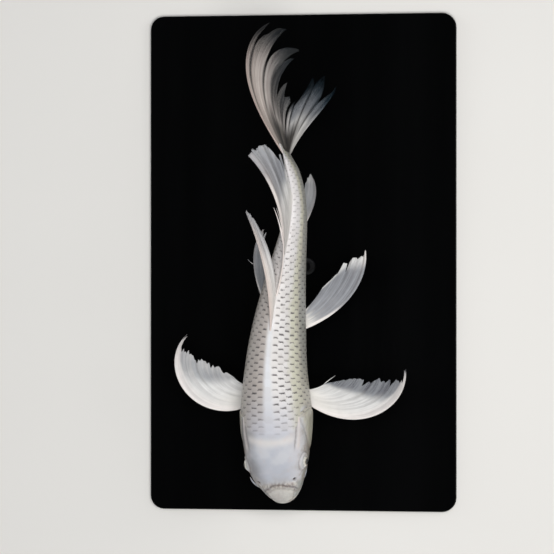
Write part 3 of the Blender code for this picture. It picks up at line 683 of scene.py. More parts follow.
def dashed(f, base, row, along, away, far):
    """Adds the dark dash at the exposed base of each scale, and the pores of the lateral line."""
    cell = f.maths("ROUND", row)
    run = f.maths("FRACT", along + f.maths("MODULO", cell, 2.0) * 0.5 + 0.04)
    across = f.maths("ABSOLUTE", row - cell)
    wobble = (f.noise(420.0, 2.0) - 0.5) * 0.12
    slant = (row - cell) * f.ramp(f.noise(25.0, 1.0), 0.3, 0.7, -0.12, 0.16)
    lag = run + across * across * 0.15 + slant
    on_tip = f.ramp(f.stored("on_scale")[1], 0.94, 1.0)
    dash = f.ramp(lag, -0.1, 0.0) * f.ramp(lag + wobble, 0.34, 0.12) * f.ramp(across + wobble, 0.56, 0.3)
    halo = f.ramp(lag + wobble, 0.75, 0.15) * f.ramp(across, 0.6, 0.2) * 0.07
    dash = f.maths("MAXIMUM", dash, halo) * (1 - on_tip)
    strength = f.ramp(far, 0.19, 0.3, 0.35, 1.0) * f.ramp(far, 0.8, 0.66, 0.45, 1.0)
    strength = strength * f.ramp(away, 0.012, 0.035) * f.ramp(away, 0.4, 0.26)
    patchy = f.ramp(f.noise(60.0, 2.0), 0.25, 0.6, 0.6, 1.0)
    base = f.mix(dash * strength * patchy * 0.95, base, DASH)
    on_line = f.hill(cell, LINE_ROW + ROW_SHIFT, 0.5) * f.ramp(across, 0.14, 0.05) * f.hill(run, 0.64, 0.22)
    return f.mix(on_line * 0.8, base, (0.16, 0.14, 0.12))


def skin_finish():
    f = Finish("wet_skin", Roughness=0.4, IOR=1.4, Coat_Weight=0.12, Coat_Roughness=0.25,
               Subsurface_Weight=0.1, Subsurface_Scale=0.004)
    f.shader.inputs["Subsurface Radius"].default_value = (1.0, 0.6, 0.45)
    base, scaled = body_colour(f)
    muzzle, opening, cover = f.stored("head_marks")
    rim, fold, thin = f.stored("head_folds")
    nape, leaf, pucker = f.stored("head_tones")
    blotch = f.noise(150.0, 4.0, 0.6)
    fine = f.noise(420.0, 3.0, 0.6)
    cloud = f.noise(34.0, 3.0, 0.55)
    bare = 1 - scaled
    streaks = f.noise(1.0, 3.0, 0.6, f.stretched((430.0, 90.0, 200.0)))
    sides = f.ramp(f.maths("ABSOLUTE", f.stored("body_place")[1]), 0.1, 0.18)
    mottle = f.ramp(f.noise(95.0, 5.0, 0.7), 0.46, 0.62) * bare * sides
    base = f.over(base,
                  (f.ramp(cloud, 0.5, 0.66) * bare * 0.45, (0.66, 0.66, 0.68)),
                  (f.ramp(cloud, 0.48, 0.36) * bare * 0.35, (0.44, 0.42, 0.42)),
                  # painted highlight: a pale band along the crown's rear edge, just ahead of the scales
                  (nape * 0.7, (0.72, 0.69, 0.67)),
                  (muzzle * 0.85, f.mix(f.ramp(blotch, 0.35, 0.7), (0.68, 0.66, 0.61), (0.54, 0.51, 0.48))),
                  (pucker * 0.8, f.mix(f.ramp(streaks, 0.4, 0.6), (0.30, 0.25, 0.22), (0.62, 0.59, 0.55))),
                  (thin * 0.75, (0.27, 0.30, 0.29)),
                  (cover * f.ramp(blotch, 0.3, 0.7, 0.5, 0.95), (0.52, 0.51, 0.41)),
                  (mottle * 0.55, (0.30, 0.25, 0.21)),
                  (f.ramp(blotch, 0.56, 0.74) * 0.3 * bare, (0.62, 0.52, 0.49)),
                  # painted highlight: the raised fold outside the groove behind each eye is painted pale
                  (leaf * f.ramp(cloud, 0.3, 0.6, 0.35, 0.85), (0.74, 0.68, 0.66)),
                  (rim * 0.75, (0.78, 0.76, 0.76)),
                  # painted shade: the snout's fold, the eye creases, the gill slits, the throat's folds and the
                  # groove behind each eye darkened
                  (fold * f.ramp(fine, 0.3, 0.6, 0.5, 1.0) * 0.85, (0.15, 0.125, 0.12)),
                  # painted shade: the mouth's slit and the nostril pits painted near black
                  (opening, (0.02, 0.015, 0.015)))
    f.set(Base_Color=base, Roughness=f.ramp(f.noise(90.0), 0.3, 0.7, 0.32, 0.48))
    pores = f.noise(260.0, 4.0, 0.6)
    f.bump(pores + f.noise(1400.0, 2.0) * 0.3, 0.0002, 0.6)
    return f.material


def scale_finish():
    f = Finish("pearl_scales", Roughness=0.4, IOR=1.42, Coat_Weight=0.1, Coat_Roughness=0.25)
    base, _ = body_colour(f)
    across, out, tint = f.stored("on_scale")
    rim = f.ramp(out + across * across * 0.25, 0.72, 1.0)
    base = f.over(base,
                  (rim * 0.08, (0.80, 0.79, 0.77)),
                  (f.ramp(tint, 0.0, 1.0, 0.0, 0.16), (0.40, 0.36, 0.32)))
    f.set(Base_Color=base, Roughness=f.ramp(f.noise(300.0), 0.3, 0.7, 0.32, 0.46))
    reach = f.maths("SQRT", across * across * 0.35 + out * out)
    rings = f.maths("SINE", reach * 110.0)
    turn = f.maths("ARCTAN2", across * 0.6, out + 0.1)
    ribs = f.maths("SINE", turn * 34.0)
    f.bump(rings * 0.3 + ribs * 0.5 * f.ramp(out, 0.45, 0.9), 0.00004, 0.5)
    return f.material


def fin_colour(f):
    """The fin's colour by place: white by the body, grey and thin outside, in broad and fine streaks."""
    share, out, peach = f.stored("fin_place")
    grey, dim, blue = f.stored("fin_tone")
    sideways = f.parts(f.node("ShaderNodeTexCoord", out="Object"))[0] * 8.0

    def streaks(across, along, detail, roughness):
        way = f.node("ShaderNodeCombineXYZ", {0: share * across, 1: out * along, 2: sideways})
        return f.noise(1.0, detail, roughness, way)

    streak = f.ramp(streaks(46.0, 1.6, 3.0, 0.6) * 0.45 + streaks(15.0, 1.1, 2.0, 0.5) * 0.55, 0.38, 0.6)
    uneven = (f.noise(60.0, 3.0) - 0.5 + (streak - 0.5)) * 0.3
    outer = f.ramp(grey + uneven * f.ramp(grey, 0.0, 0.5), 0.05, 0.85)
    gap = (1 - streak) * f.ramp(out, 0.05, 0.4) * (dim + 0.3)
    base = f.over((0.79, 0.77, 0.74),
                  (f.ramp(out, 0.1, 0.6), (0.82, 0.82, 0.82)),
                  (f.ramp(share, 0.26, 0.03) * 0.8, (0.88, 0.83, 0.81)),
                  (gap, (0.28, 0.27, 0.28)),
                  (outer * 0.9, f.mix(streak, (0.15, 0.155, 0.19), (0.38, 0.40, 0.44))),
                  (peach, f.mix(streak, (0.58, 0.44, 0.38), (0.84, 0.72, 0.65))),
                  # painted shade: the dim share holds the darkening by the tail fin's root and along its gaps
                  (dim, f.mix(streak, (0.012, 0.012, 0.013), (0.08, 0.072, 0.065))),
                  (blue, (0.012, 0.045, 0.075)))
    alpha = f.ramp(out, 0.15, 1.0, 1.0, 0.78) - outer * 0.2 - dim * f.ramp(out, 0.3, 0.8) * 0.55
    return base, out, alpha, blue + dim


def ray_finish():
    f = Finish("fin_rays", Roughness=0.42, IOR=1.4)
    base, out, alpha, dark = fin_colour(f)
    lighter = f.clamped(1 - dark) * f.ramp(out, 0.25, 0.7, 0.0, 0.12)
    f.set(Base_Color=f.mix(lighter, base, (0.80, 0.80, 0.80)), Alpha=f.clamped(alpha + 0.1))
    f.bump(f.noise(700.0, 2.0), 0.00008, 0.5)
    return f.material


def membrane_finish():
    f = Finish("fin_membrane", Roughness=0.45, IOR=1.38)
    base, _, alpha, _ = fin_colour(f)
    f.set(Base_Color=base, Alpha=f.clamped(alpha + (f.noise(140.0) - 0.5) * 0.2))
    f.bump(f.noise(320.0, 4.0), 0.00012, 0.5)
    return f.material


def eye_finish():
    f = Finish("wet_eye", Roughness=0.08, IOR=1.4, Coat_Weight=1.0, Coat_Roughness=0.02)
    gaze, turn, _ = f.stored("eye_place")
    streaks = f.noise(900.0, 3.0)
    base = f.over((0.50, 0.49, 0.45),
                  (f.ramp(streaks, 0.35, 0.65), (0.76, 0.76, 0.75)),
                  (f.ramp(turn, 0.75, 0.2) * 0.6, (0.16, 0.145, 0.12)),
                  (f.hill(gaze, 26.0, 4.0) * 0.7, (0.55, 0.47, 0.30)),
                  (f.ramp(gaze, 38.0, 52.0), (0.50, 0.51, 0.54)),
                  (f.hill(gaze, 41.0, 7.0) * 0.4, (0.08, 0.08, 0.08)),
                  (f.ramp(gaze, 24.0, 20.5), (0.006, 0.006, 0.007)))
    f.set(Base_Color=base)
    return f.material


def lacquer_finish():
    f = Finish("black_lacquer", Specular_IOR_Level=0.015)
    grain = f.noise(14.0, 6.0, 0.6, f.stretched((1.0, 0.06, 1.0)))
    mottled = f.noise(3.0, 2.0)
    f.set(Base_Color=f.mix(f.ramp(grain + (mottled - 0.5) * 0.5, 0.35, 0.8), (0.0007, 0.0008, 0.0009),
                           (0.0018, 0.0019, 0.0021)),
          Roughness=f.ramp(mottled, 0.3, 0.7, 0.5, 0.62))
    f.bump(grain, 0.0002, 0.2)
    return f.material


def steel_finish():
    f = Finish("black_steel", Metallic=0.6, IOR=1.45)
    brushed = f.noise(60.0, 3.0, 0.5, f.stretched((1.0, 1.0, 14.0)))
    f.set(Base_Color=f.mix(brushed, (0.006, 0.006, 0.0065), (0.014, 0.014, 0.015)),
          Roughness=f.ramp(brushed, 0.3, 0.7, 0.3, 0.45))
    f.bump(brushed, 0.0001, 0.3)
    return f.material


def floor_finish():
    f = Finish("pale_floor", Roughness=0.7)
    f.set(Base_Color=f.mix(f.noise(2.0), (0.80, 0.79, 0.77), (0.84, 0.83, 0.81)))
    return f.material


# ======================================================================================================
# Skin
# ======================================================================================================

def column_angles():
    """Angles round the body, closer together where the eyes and the mouth's corners lie."""
    fine = np.linspace(-math.pi, math.pi, 4001)
    turned = np.degrees(np.abs(fine))
    weight = 1 + sum(much * hill(turned - centre, width) for centre, width, much in FINER)
    run = np.concatenate([[0], np.cumsum((weight[1:] + weight[:-1]) / 2)])
    return np.interp(np.arange(COLUMNS) / COLUMNS * run[-1], run, fine)


def ring_distances():
    head = HEAD_END * (np.arange(1, HEAD_RINGS + 1) / HEAD_RINGS) ** 2
    return np.concatenate([head, np.linspace(HEAD_END, BODY_LENGTH, TRUNK_RINGS + 1)[1:]])


def thinned_tail(points, distance):
    """Draws the tail stalk's sides in where it laps over the root of the tail fin."""
    middle = body_point(distance, 0 * distance, 0)
    thin = 1 - STALK_THINNING * ramp(distance, STALK_FROM, BODY_LENGTH)
    offset = points - middle
    offset[..., :2] *= thin[..., None]
    return middle + offset


def eye_axes():
    """For each side of the head: the eye's centre and the direction that its opening faces."""
    for side in (1, -1):
        centre = body_point(EYE_BEHIND, side * EYE_ANGLE, EYE_DEPTH)
        yield centre, unit(body_point(EYE_BEHIND, side * EYE_ANGLE) - centre)


def round_eyes(points):
    """For each eye: the way its opening faces, and the points' distances along that line and from it."""
    for centre, outward in eye_axes():
        off = points - centre
        level = off @ outward
        yield outward, level, np.linalg.norm(off - level[..., None] * outward, axis=-1)


def mouth_relief(distance, points):
    """Two soft lips and the slit between them. Returns the height, the lips and the opening."""
    line = MOUTH_HEIGHT + MOUTH_SLOPE * distance
    above = points[..., 2] - AXIS_HEIGHT - line
    reach = 1 - ramp(distance, MOUTH_CORNER - 3 * MM, MOUTH_CORNER + 1.5 * MM)
    full = 1 - 0.4 * np.clip(distance / MOUTH_CORNER, 0, 1)
    upper = hill(above - 2.6 * MM * full, 1.9 * MM * full)
    lower = hill(above + 2.5 * MM * full, 1.7 * MM * full)
    slit = hill(above, 0.5 * MM)
    groove_up = hill(above - 7.2 * MM * full, 1.7 * MM)
    groove_down = hill(above + 6.0 * MM * full, 1.3 * MM)
    height = reach * ((0.6 * upper + 0.5 * lower) * MM - 2.6 * MM * slit
                      - 0.9 * MM * groove_up - 0.9 * MM * groove_down)
    return height, reach * hill(above, 4.5 * MM * full), reach * hill(above, 0.6 * MM)


def snout_relief(distance, angle, points):
    """The puckered fold that the muzzle slides out from under, and the bands of the jaw beside the muzzle."""
    turned = np.abs(angle)
    centre = body_point(distance, 0 * distance, 0)
    across = np.linalg.norm(points[..., :2] - centre[..., :2], axis=-1)
    uneven = 0.4 * np.sin(across / (1.9 * MM) + angle) + 0.25 * np.sin(across / (0.8 * MM) + 2 * angle)
    behind = distance - SNOUT_FOLD - 0.9 * MM * uneven + 0.018 * across * across / MM
    over = 1 - ramp(turned, 0.95, 1.3)
    fold = (hill(behind, 1.3 * MM) + 0.45 * hill(behind + 3.4 * MM, 1.0 * MM)) * over
    roll = hill(behind - 2.4 * MM, 2.0 * MM) * over
    beside = across - 8 * MM - 0.52 * distance
    crease = hill(beside, 0.9 * MM) * between(distance, JAW_START, CREASE_STOP) * (1 - ramp(turned, 1.5, 1.7))
    band = ramp(beside, 0, 2 * MM) * between(distance, JAW_START, BAND_STOP) * (1 - ramp(turned, 1.9, 2.2))
    muzzle = (1 - ramp(behind, -2 * MM, 0.5 * MM)) * (1 - band) * (1 - ramp(turned, 1.6, 2.0))
    height = (0.35 * roll - 0.6 * fold - 0.45 * crease) * MM
    return height, np.clip(fold + 0.6 * crease, 0, 1), band, muzzle


def nostril_relief(distance, points):
    """A pit with a flap of skin in front of it on each side of the snout."""
    height, pits, flaps = 0 * distance, 0 * distance, 0 * distance
    for side in (1, -1):
        centre = body_point(NOSTRIL_BEHIND, side * NOSTRIL_ANGLE)
        off = (points - centre) * np.array([side, -1, 1])
        oval = np.linalg.norm(off / np.array([1.35, 1.0, 1.35]), axis=-1)
        pit = np.exp(-((oval / (1.5 * MM)) ** 4))
        off_flap = off + np.array([0.9, -2.6, 0.3]) * MM
        flap = hill(np.linalg.norm(off_flap / np.array([2.3, 0.8, 1.7]), axis=-1), 1.0 * MM)
        rim = hill(oval - 2.6 * MM, 0.8 * MM)
        height = height - 2.1 * MM * pit + 1.3 * MM * flap + 0.35 * MM * rim
        pits, flaps = pits + pit, flaps + flap
    return height, np.clip(pits, 0, 1), np.clip(flaps, 0, 1)


def crest_relief(distance, angle):
    """The groove from behind each eye to the top of the gill slit, and the raised fold outside it, painted pale
    in the finish as a painted highlight.
    """
    turned = np.abs(angle)
    line = CREST_ANGLE + CREST_RISE * (distance - CREST_BEHIND)
    arc = (turned - line) * CREST_RADIUS
    length = between(distance, CREST_START, CREST_STOP)
    leaf = (1 - ramp(distance, 62 * MM, 92 * MM)) * 0.75 + 0.25
    groove = hill(arc, 0.9 * MM) * length
    fold = hill(arc - 1.2 * MM - 2.2 * MM * leaf, (0.8 + 1.7 * leaf) * MM) * length
    return (0.32 * fold - 0.35 * groove) * MM, groove, fold


def eye_relief(distance, points):
    """The soft ring of skin round each eye, and the crease outside it."""
    height, rims, creases = 0 * distance, 0 * distance, 0 * distance
    for _, level, away in round_eyes(points):
        near = level > 0
        rim = near * hill(away - (EYE_OPENING + 1.1 * MM), 1.1 * MM)
        crease = near * hill(away - (EYE_OPENING + 3.6 * MM), 0.8 * MM)
        height = height + 0.55 * MM * rim - 0.35 * MM * crease
        rims, creases = rims + rim, creases + crease
    return height, np.clip(rims, 0, 1), np.clip(creases, 0, 1)


def cover_relief(distance, angle):
    """The gill covers: a raised bony plate, the groove round it, and the slit behind its soft edge."""
    turned = np.abs(angle)
    span = COVER_SPAN + np.where(turned < COVER_ANGLE, COVER_SHEAR * (distance - COVER_BEHIND), 0)
    along = (distance - COVER_BEHIND) / COVER_REACH
    around = (turned - COVER_ANGLE) / np.maximum(span, math.radians(14))
    reach = (np.abs(along) ** COVER_SQUARENESS + np.abs(around) ** COVER_SQUARENESS) ** (1 / COVER_SQUARENESS)
    behind = distance - gill_edge(turned) + 1 * MM
    open_slit = between(turned, (SLIT_TOP, SLIT_TOP + 0.12), (SLIT_LOW - 0.15, SLIT_LOW))
    plate = ramp(reach, 1.12, 0.82) * (1 - ramp(behind, -2.5 * MM, -0.5 * MM))
    border = hill(reach - 1.08, 0.06) * (1 - ramp(behind, -3 * MM, 0)) * (distance > 50 * MM)
    slit = hill(behind - 1.3 * MM, 1.0 * MM) * open_slit
    flap = hill(behind + 0.9 * MM, 0.9 * MM) * open_slit
    ridges = np.cos(9 * np.arctan2(around, along + 1.6)) * plate * ramp(reach, 0.2, 0.6)
    height = 0.6 * MM * plate - 0.35 * MM * border - 2.2 * MM * slit + 0.45 * MM * flap + 0.08 * MM * ridges
    return height, plate, np.clip(0.35 * border + slit, 0, 1), flap


def throat_relief(distance, angle):
    """The folds of the gill membranes under the throat, which meet at the middle."""
    turned = np.abs(angle)
    folds = 0 * distance
    for k in range(THROAT_FOLDS):
        centre = math.radians(134 + 11 * k) + (distance - 40 * MM) * (2 + 2 * k)
        folds = folds + hill((turned - centre) * THROAT_RADIUS, 0.8 * MM)
    return folds * between(distance, THROAT_START, THROAT_STOP)


def run_under_eyes(points):
    """Brings the skin inside each eye's opening down under the eyeball."""
    for outward, level, away in round_eyes(points):
        inside = (1 - ramp(away, EYE_OPENING - 0.75 * MM, EYE_OPENING + 0.1 * MM)) * (level > 0)
        under = np.sqrt(np.maximum(EYE_RADIUS**2 - away**2, 0)) - EYE_UNDER
        points = points + (inside * (under - level))[..., None] * outward
    return points


def spacing_at(distance):
    """The distance from one scale to the next along a row."""
    return SCALE_SPACING * (1 - SPACING_FALL * ramp(distance, SPREAD_FROM, SPREAD_TO))


BODY_RUN = np.linspace(0, 1.1 * BODY_LENGTH, 800)
BODY_COUNT = np.diff(BODY_RUN) / spacing_at((BODY_RUN[1:] + BODY_RUN[:-1]) / 2)
BODY_COUNT = np.concatenate([[0], np.cumsum(BODY_COUNT)])  # how many scales lie ahead of each place


def row_angle(row):
    """The angle from the top of a row of scales on the trunk's front. Rows by the back lie wider apart."""
    return ROW_STEP * row + BACK_ROW_EXTRA * (1 - np.exp(-np.abs(row))) * np.sign(row)


def rows_spread(distance):
    return 1 + ROWS_SPREAD * ramp(np.asarray(distance, float), SPREAD_FROM, SPREAD_TO)


def row_centre(row, distance):
    """The angle of a row at a distance. Towards the tail the rows spread from the lateral line."""
    line = row_angle(LINE_ROW)
    return line + (row_angle(row) - line) * rows_spread(distance)


def scale_rows(distance, angle):
    """The row of scales at a place, counted from the middle of the back: whole numbers are row centres."""
    line = row_angle(LINE_ROW)
    rows = np.arange(-4, ROWS + 5)
    return np.interp(line + (np.abs(angle) - line) / rows_spread(distance), row_angle(rows), rows)


def store_places(mesh, distance, angle, past):
    """Writes where each point lies on the body and in the rows of scales."""
    store(mesh, "body_place", distance / STANDARD_LENGTH, angle / (2 * math.pi), past)
    count = np.interp(distance, BODY_RUN, BODY_COUNT)
    store(mesh, "scale_place", scale_rows(distance, angle) + ROW_SHIFT, count + COUNT_SHIFT, 0)


def make_skin(finish):
    distance, angle = np.meshgrid(ring_distances(), column_angles(), indexing="ij")
    plain = thinned_tail(body_point(distance, angle), distance)
    normal = ring_normals(plain)
    past = ramp(distance - scale_edge(angle), -3 * MM, 7 * MM)
    mouth, lips, opening = mouth_relief(distance, plain)
    snout, fold, band, muzzle = snout_relief(distance, angle, plain)
    nostril, pits, flaps = nostril_relief(distance, plain)
    eye, rims, creases = eye_relief(distance, plain)
    cover, plate, slit, flap = cover_relief(distance, angle)
    # the finish paints the groove dark as painted shade and the fold outside it pale as a painted highlight
    crest, groove, leaf = crest_relief(distance, angle)
    throat = throat_relief(distance, angle)
    height = mouth + snout + nostril + eye + cover + crest - 0.5 * MM * throat - COAT_DEPTH * past - 0.1 * MM
    points = run_under_eyes(plain + height[..., None] * normal)
    points = np.vstack([body_point(0, 0), points.reshape(-1, 3), body_point(BODY_LENGTH, 0, 0)])
    skin = mesh_object("koi_skin", points, capped_faces(*distance.shape), finish)

    def with_ends(values, first, last):
        return np.concatenate([[first], np.asarray(values).ravel(), [last]])

    ends = [with_ends(distance, 0, BODY_LENGTH), with_ends(angle, 0, 0), with_ends(past, 0, 1)]
    store_places(skin.data, *ends)
    store(skin.data, "past_head", ends[2])
    # painted shade in the recesses: the snout's fold, the eye creases, the gill slits and the groove round each
    # cover, the throat's folds, the groove behind each eye and the slopes of the eye rims
    dark = fold + 0.5 * creases + slit + 0.5 * throat + 0.8 * groove + 0.35 * rims * (1 - rims)
    # the second mark is painted shade: the mouth's opening and the nostril pits, which the finish paints near
    # black
    marks = [np.clip(muzzle + lips, 0, 1), np.clip(opening + pits, 0, 1), np.clip(plate + flap, 0, 1)]
    folds = [np.clip(0.6 * rims + flaps, 0, 1), np.clip(dark, 0, 1), band * (1 - lips)]
    # a painted highlight: the pale band along the crown's rear edge, just ahead of the scales
    nape = hill(distance - scale_edge(angle) + 6 * MM, 4.5 * MM) * (1 - ramp(np.abs(angle), 0.62, 0.8))
    pucker = hill(distance - SNOUT_FOLD, 3.4 * MM) * (1 - ramp(np.abs(angle), 0.9, 1.3))
    tones = [nape, leaf, pucker]
    for name, values in (("head_marks", marks), ("head_folds", folds), ("head_tones", tones)):
        store(skin.data, name, *(with_ends(value, value.flat[0], 0) for value in values))
    store_map(skin.data, body_map(ends[0], ends[1]))
    return skin


def body_map(distance, angle):
    """The body unrolled: across is the angle and up is the distance behind the snout."""
    return np.stack([0.01 + 0.98 * (angle / (2 * math.pi) + 0.5), 0.01 + 0.98 * distance / BODY_LENGTH], -1)


# ======================================================================================================
# Scales
# ======================================================================================================

def scale_plate():
    """One scale, a unit wide and long, with its root at the origin and its round free edge at y = 1."""
    across, out = np.meshgrid(np.linspace(-1, 1, SCALE_COLUMNS + 1), np.linspace(0, 1, SCALE_STEPS + 1))
    side = 0.72 + 0.28 * np.sin(np.minimum(out * 1.5, 1) * math.pi / 2)
    end = 1 - 0.4 * np.abs(across) ** 2.3
    start = 0.08 * across**2
    x, y = 0.5 * across * side, start + out * (end - start)
    lift = 0.04 + 0.86 * y
    top = np.stack([x, y, 0 * x], -1).reshape(-1, 3)
    rim = rim_of_grid(SCALE_STEPS + 1, SCALE_COLUMNS + 1)
    faces = grid_faces(SCALE_STEPS + 1, SCALE_COLUMNS + 1)
    low = {corner: len(top) + k for k, corner in enumerate(rim)}
    faces += [[a, low[a], low[b], b] for a, b in zip(rim, rim[1:] + rim[:1])]
    faces.append([low[corner] for corner in reversed(rim)])
    plate = mesh_object("scale_plate", np.vstack([top, top[rim] - (0, 0, PLATE_DEPTH)]), faces)
    under = lift.reshape(-1) - SCALE_THICKNESS / COAT_DEPTH
    store(plate.data, "lift", np.concatenate([lift.reshape(-1), under[rim]]))
    local = top * (2, 1, 1)
    store(plate.data, "local", np.vstack([local, local[rim]]))
    plate.data.set_sharp_from_angle(angle=math.radians(50))
    return plate


def rim_of_grid(rows, columns):
    """The points round the edge of a grid, in the order that keeps the faces beside them outwards."""
    first = list(range(columns))
    right = [i * columns + columns - 1 for i in range(1, rows)]
    last = [(rows - 1) * columns + j for j in range(columns - 2, -1, -1)]
    left = [i * columns for i in range(rows - 2, 0, -1)]
    return first + right + last + left


def scale_places():
    """Each scale's tip, angle and row step. Neighbouring rows are set off from each other by half a scale."""
    found = []
    last = int(2 * np.interp(BODY_LENGTH - BARE_TAIL, BODY_RUN, BODY_COUNT))  # in half scales
    for row in range(ROWS + 1):
        middle = row in (0, ROWS)
        sides = (1,) if middle else (1, -1)
        for half in range(FIRST_SCALE + row % 2, last, 2):
            tip = float(np.interp(half / 2, BODY_COUNT, BODY_RUN))
            angle = float(row_centre(row, tip - 0.6 * SCALE_SPACING))
            step = ROW_STEP * float(rows_spread(tip))
            on_middle = abs(angle - (0 if row == 0 else math.pi)) < MIDDLE_ROOM
            on_side = SIDE_ROOM * step < angle < math.pi - SIDE_ROOM * step
            if not (on_middle if middle else on_side):
                continue
            too_far = tip > BODY_LENGTH - BARE_TAIL - BARE_ROUND * math.cos(angle) ** 2
            if too_far or tip - 0.55 * SCALE_SPACING < scale_edge(angle):
                continue
            found += [(tip, side * angle, step) for side in sides]
    return np.array(found)


def scale_roots(places):
    """A point for each scale's root, with its directions and size."""
    tip, angle, step = places.T
    length = SCALE_REACH * spacing_at(tip)
    root = tip - length
    place = thinned_tail(body_point(root, angle), root)
    ahead = thinned_tail(body_point(tip, angle), tip) - place
    beside = body_point(root, angle + 0.02) - body_point(root, angle - 0.02)
    middle = tip - SCALE_SPACING / 2
    across = body_point(middle, angle + step / 2) - body_point(middle, angle - step / 2)
    roots = mesh_object("koi_scales", place)
    store(roots.data, "outward", unit(np.cross(beside, ahead)))
    store(roots.data, "tailward", unit(ahead))
    width = SCALE_WIDTH * np.linalg.norm(across, axis=1)
    store(roots.data, "size", width, np.linalg.norm(ahead, axis=1), 1)
    store(roots.data, "rise", 0.55 + 0.25 * ramp(tip - scale_edge(angle), 4 * MM, 36 * MM))
    for name, values in (("root_distance", root), ("root_angle", angle), ("scale_step", step),
                         ("scale_length", length)):
        store(roots.data, name, values)
    return roots


def scale_tree():
    """Sets a scale at each root, then lays it on the skin with its free edge lifted."""
    t = Shape("scale coat", {"Scale": "Object", "Skin": "Object", "Depth": "Float", "Size jitter": "Float",
                             "Seed": "Int", "Material": "Material"})
    seed = t.inputs["Seed"]
    jitter = t.add("FunctionNodeRandomValue", {"Seed": seed}, data_type="FLOAT_VECTOR").outputs[0]
    jitter = t.vectors("SCALE", t.vectors("ADD", jitter, (-0.5, -0.5, -0.5)), t.inputs["Size jitter"])
    size = t.vectors("MULTIPLY", t.vectors("ADD", jitter, (1, 1, 1)), t.named("size", "FLOAT_VECTOR"))
    turned = t.add("FunctionNodeAxesToRotation", {"Primary Axis": t.named("outward", "FLOAT_VECTOR"),
                                                  "Secondary Axis": t.named("tailward", "FLOAT_VECTOR")},
                   primary_axis="Z", secondary_axis="Y")
    tint = t.add("FunctionNodeRandomValue", {"Seed": t.maths("ADD", seed, 1)}, data_type="FLOAT")
    tinted = t.add("GeometryNodeStoreNamedAttribute", {"Geometry": t.inputs["Geometry"], "Name": "tint",
                                                       "Value": live(tint.outputs)},
                   data_type="FLOAT", domain="POINT")
    plate = t.add("GeometryNodeObjectInfo", {"Object": t.inputs["Scale"]}).outputs["Geometry"]
    placed = t.add("GeometryNodeInstanceOnPoints", {"Points": tinted.outputs[0], "Instance": plate,
                                                    "Rotation": turned.outputs[0], "Scale": size})
    loose = t.add("GeometryNodeRealizeInstances", {"Geometry": placed.outputs[0]}).outputs[0]
    skin = t.add("GeometryNodeObjectInfo", {"Object": t.inputs["Skin"]}).outputs["Geometry"]
    on_skin = t.nearest(skin, t.add("GeometryNodeInputPosition").outputs[0])
    facing = t.nearest(skin, t.add("GeometryNodeInputNormal").outputs[0])
    past = t.nearest(skin, t.named("past_head"), "FLOAT")
    buried = t.maths("MULTIPLY", t.maths("SUBTRACT", past, 1.0), 1.6)
    lift = t.maths("ADD", t.maths("MULTIPLY", t.named("lift"), t.named("rise")), buried)
    raised = t.vectors("SCALE", facing, t.maths("MULTIPLY", lift, t.inputs["Depth"]))
    laid = t.vectors("ADD", on_skin, raised)
    coat = t.add("GeometryNodeSetPosition", {"Geometry": loose, "Position": laid}).outputs[0]
    return t.end(coat, t.inputs["Material"])


def make_scales(skin, finish):
    plate = scale_plate()
    coat = scale_roots(scale_places())
    grown(coat, scale_tree(), {"Scale": plate, "Skin": skin, "Depth": COAT_DEPTH, "Size jitter": 0.06,
                               "Seed": 7, "Material": finish})
    bpy.data.objects.remove(plate)
    mesh = coat.data
    across, out, _ = stored(mesh, "local").T
    root, angle, step, length = (stored(mesh, name) for name in ("root_distance", "root_angle", "scale_step",
                                                                 "scale_length"))
    store_places(mesh, root + out * length, angle + across * 0.95 * step, 1)
    store(mesh, "on_scale", across, out, stored(mesh, "tint"))
    patch_angle = angle + across * 0.46 * step
    patch_distance = root + (0.2 + 0.46 * out) * length / SCALE_REACH
    store_map(mesh, body_map(patch_distance, np.clip(patch_angle, -math.pi, math.pi)))
    for name in ("lift", "local", "outward", "tailward", "size", "rise", "root_distance", "root_angle",
                 "scale_step", "scale_length", "tint"):
        mesh.attributes.remove(mesh.attributes[name])
    return coat


# ======================================================================================================
# Fins and barbels
# ======================================================================================================

def fin_paths(look, shares, steps):
    """Rays at these shares of the stretch of root: rows of points from the root to a little past the ends."""
    fin = look.fin
    shares = look.start + (look.end - look.start) * np.asarray(shares, float)
    root = np.array([body_point(d * MM, math.radians(a), share) for d, a, share in fin.root])
    at = np.linspace(0, 1, len(root))
    foot = np.stack([natural_spline(at, root[:, k])(shares) for k in range(3)], -1)
    guides = np.array(fin.rays, float)
    length, heading, turn, late_turn, pitch, lift = (
        natural_spline(guides[:, 0], guides[:, k])(shares)[:, None] for k in range(1, guides.shape[1]))
    middles = (SHEET_PAST * (np.arange(steps) + 0.5) / steps)[None]
    walk = steps_of(heading + turn * middles + late_turn * middles**3, pitch + lift * middles)
    walk = np.cumsum(walk * length[..., None] * MM * SHEET_PAST / steps, axis=1)
    return np.concatenate([foot[:, None], foot[:, None] + walk], axis=1)


def steps_of(heading, pitch):
    """Directions from a heading and a pitch in degrees."""
    heading, pitch = np.radians(heading), np.radians(pitch)
    return np.stack([np.cos(pitch) * np.sin(heading), np.cos(pitch) * np.cos(heading), np.sin(pitch)], -1)


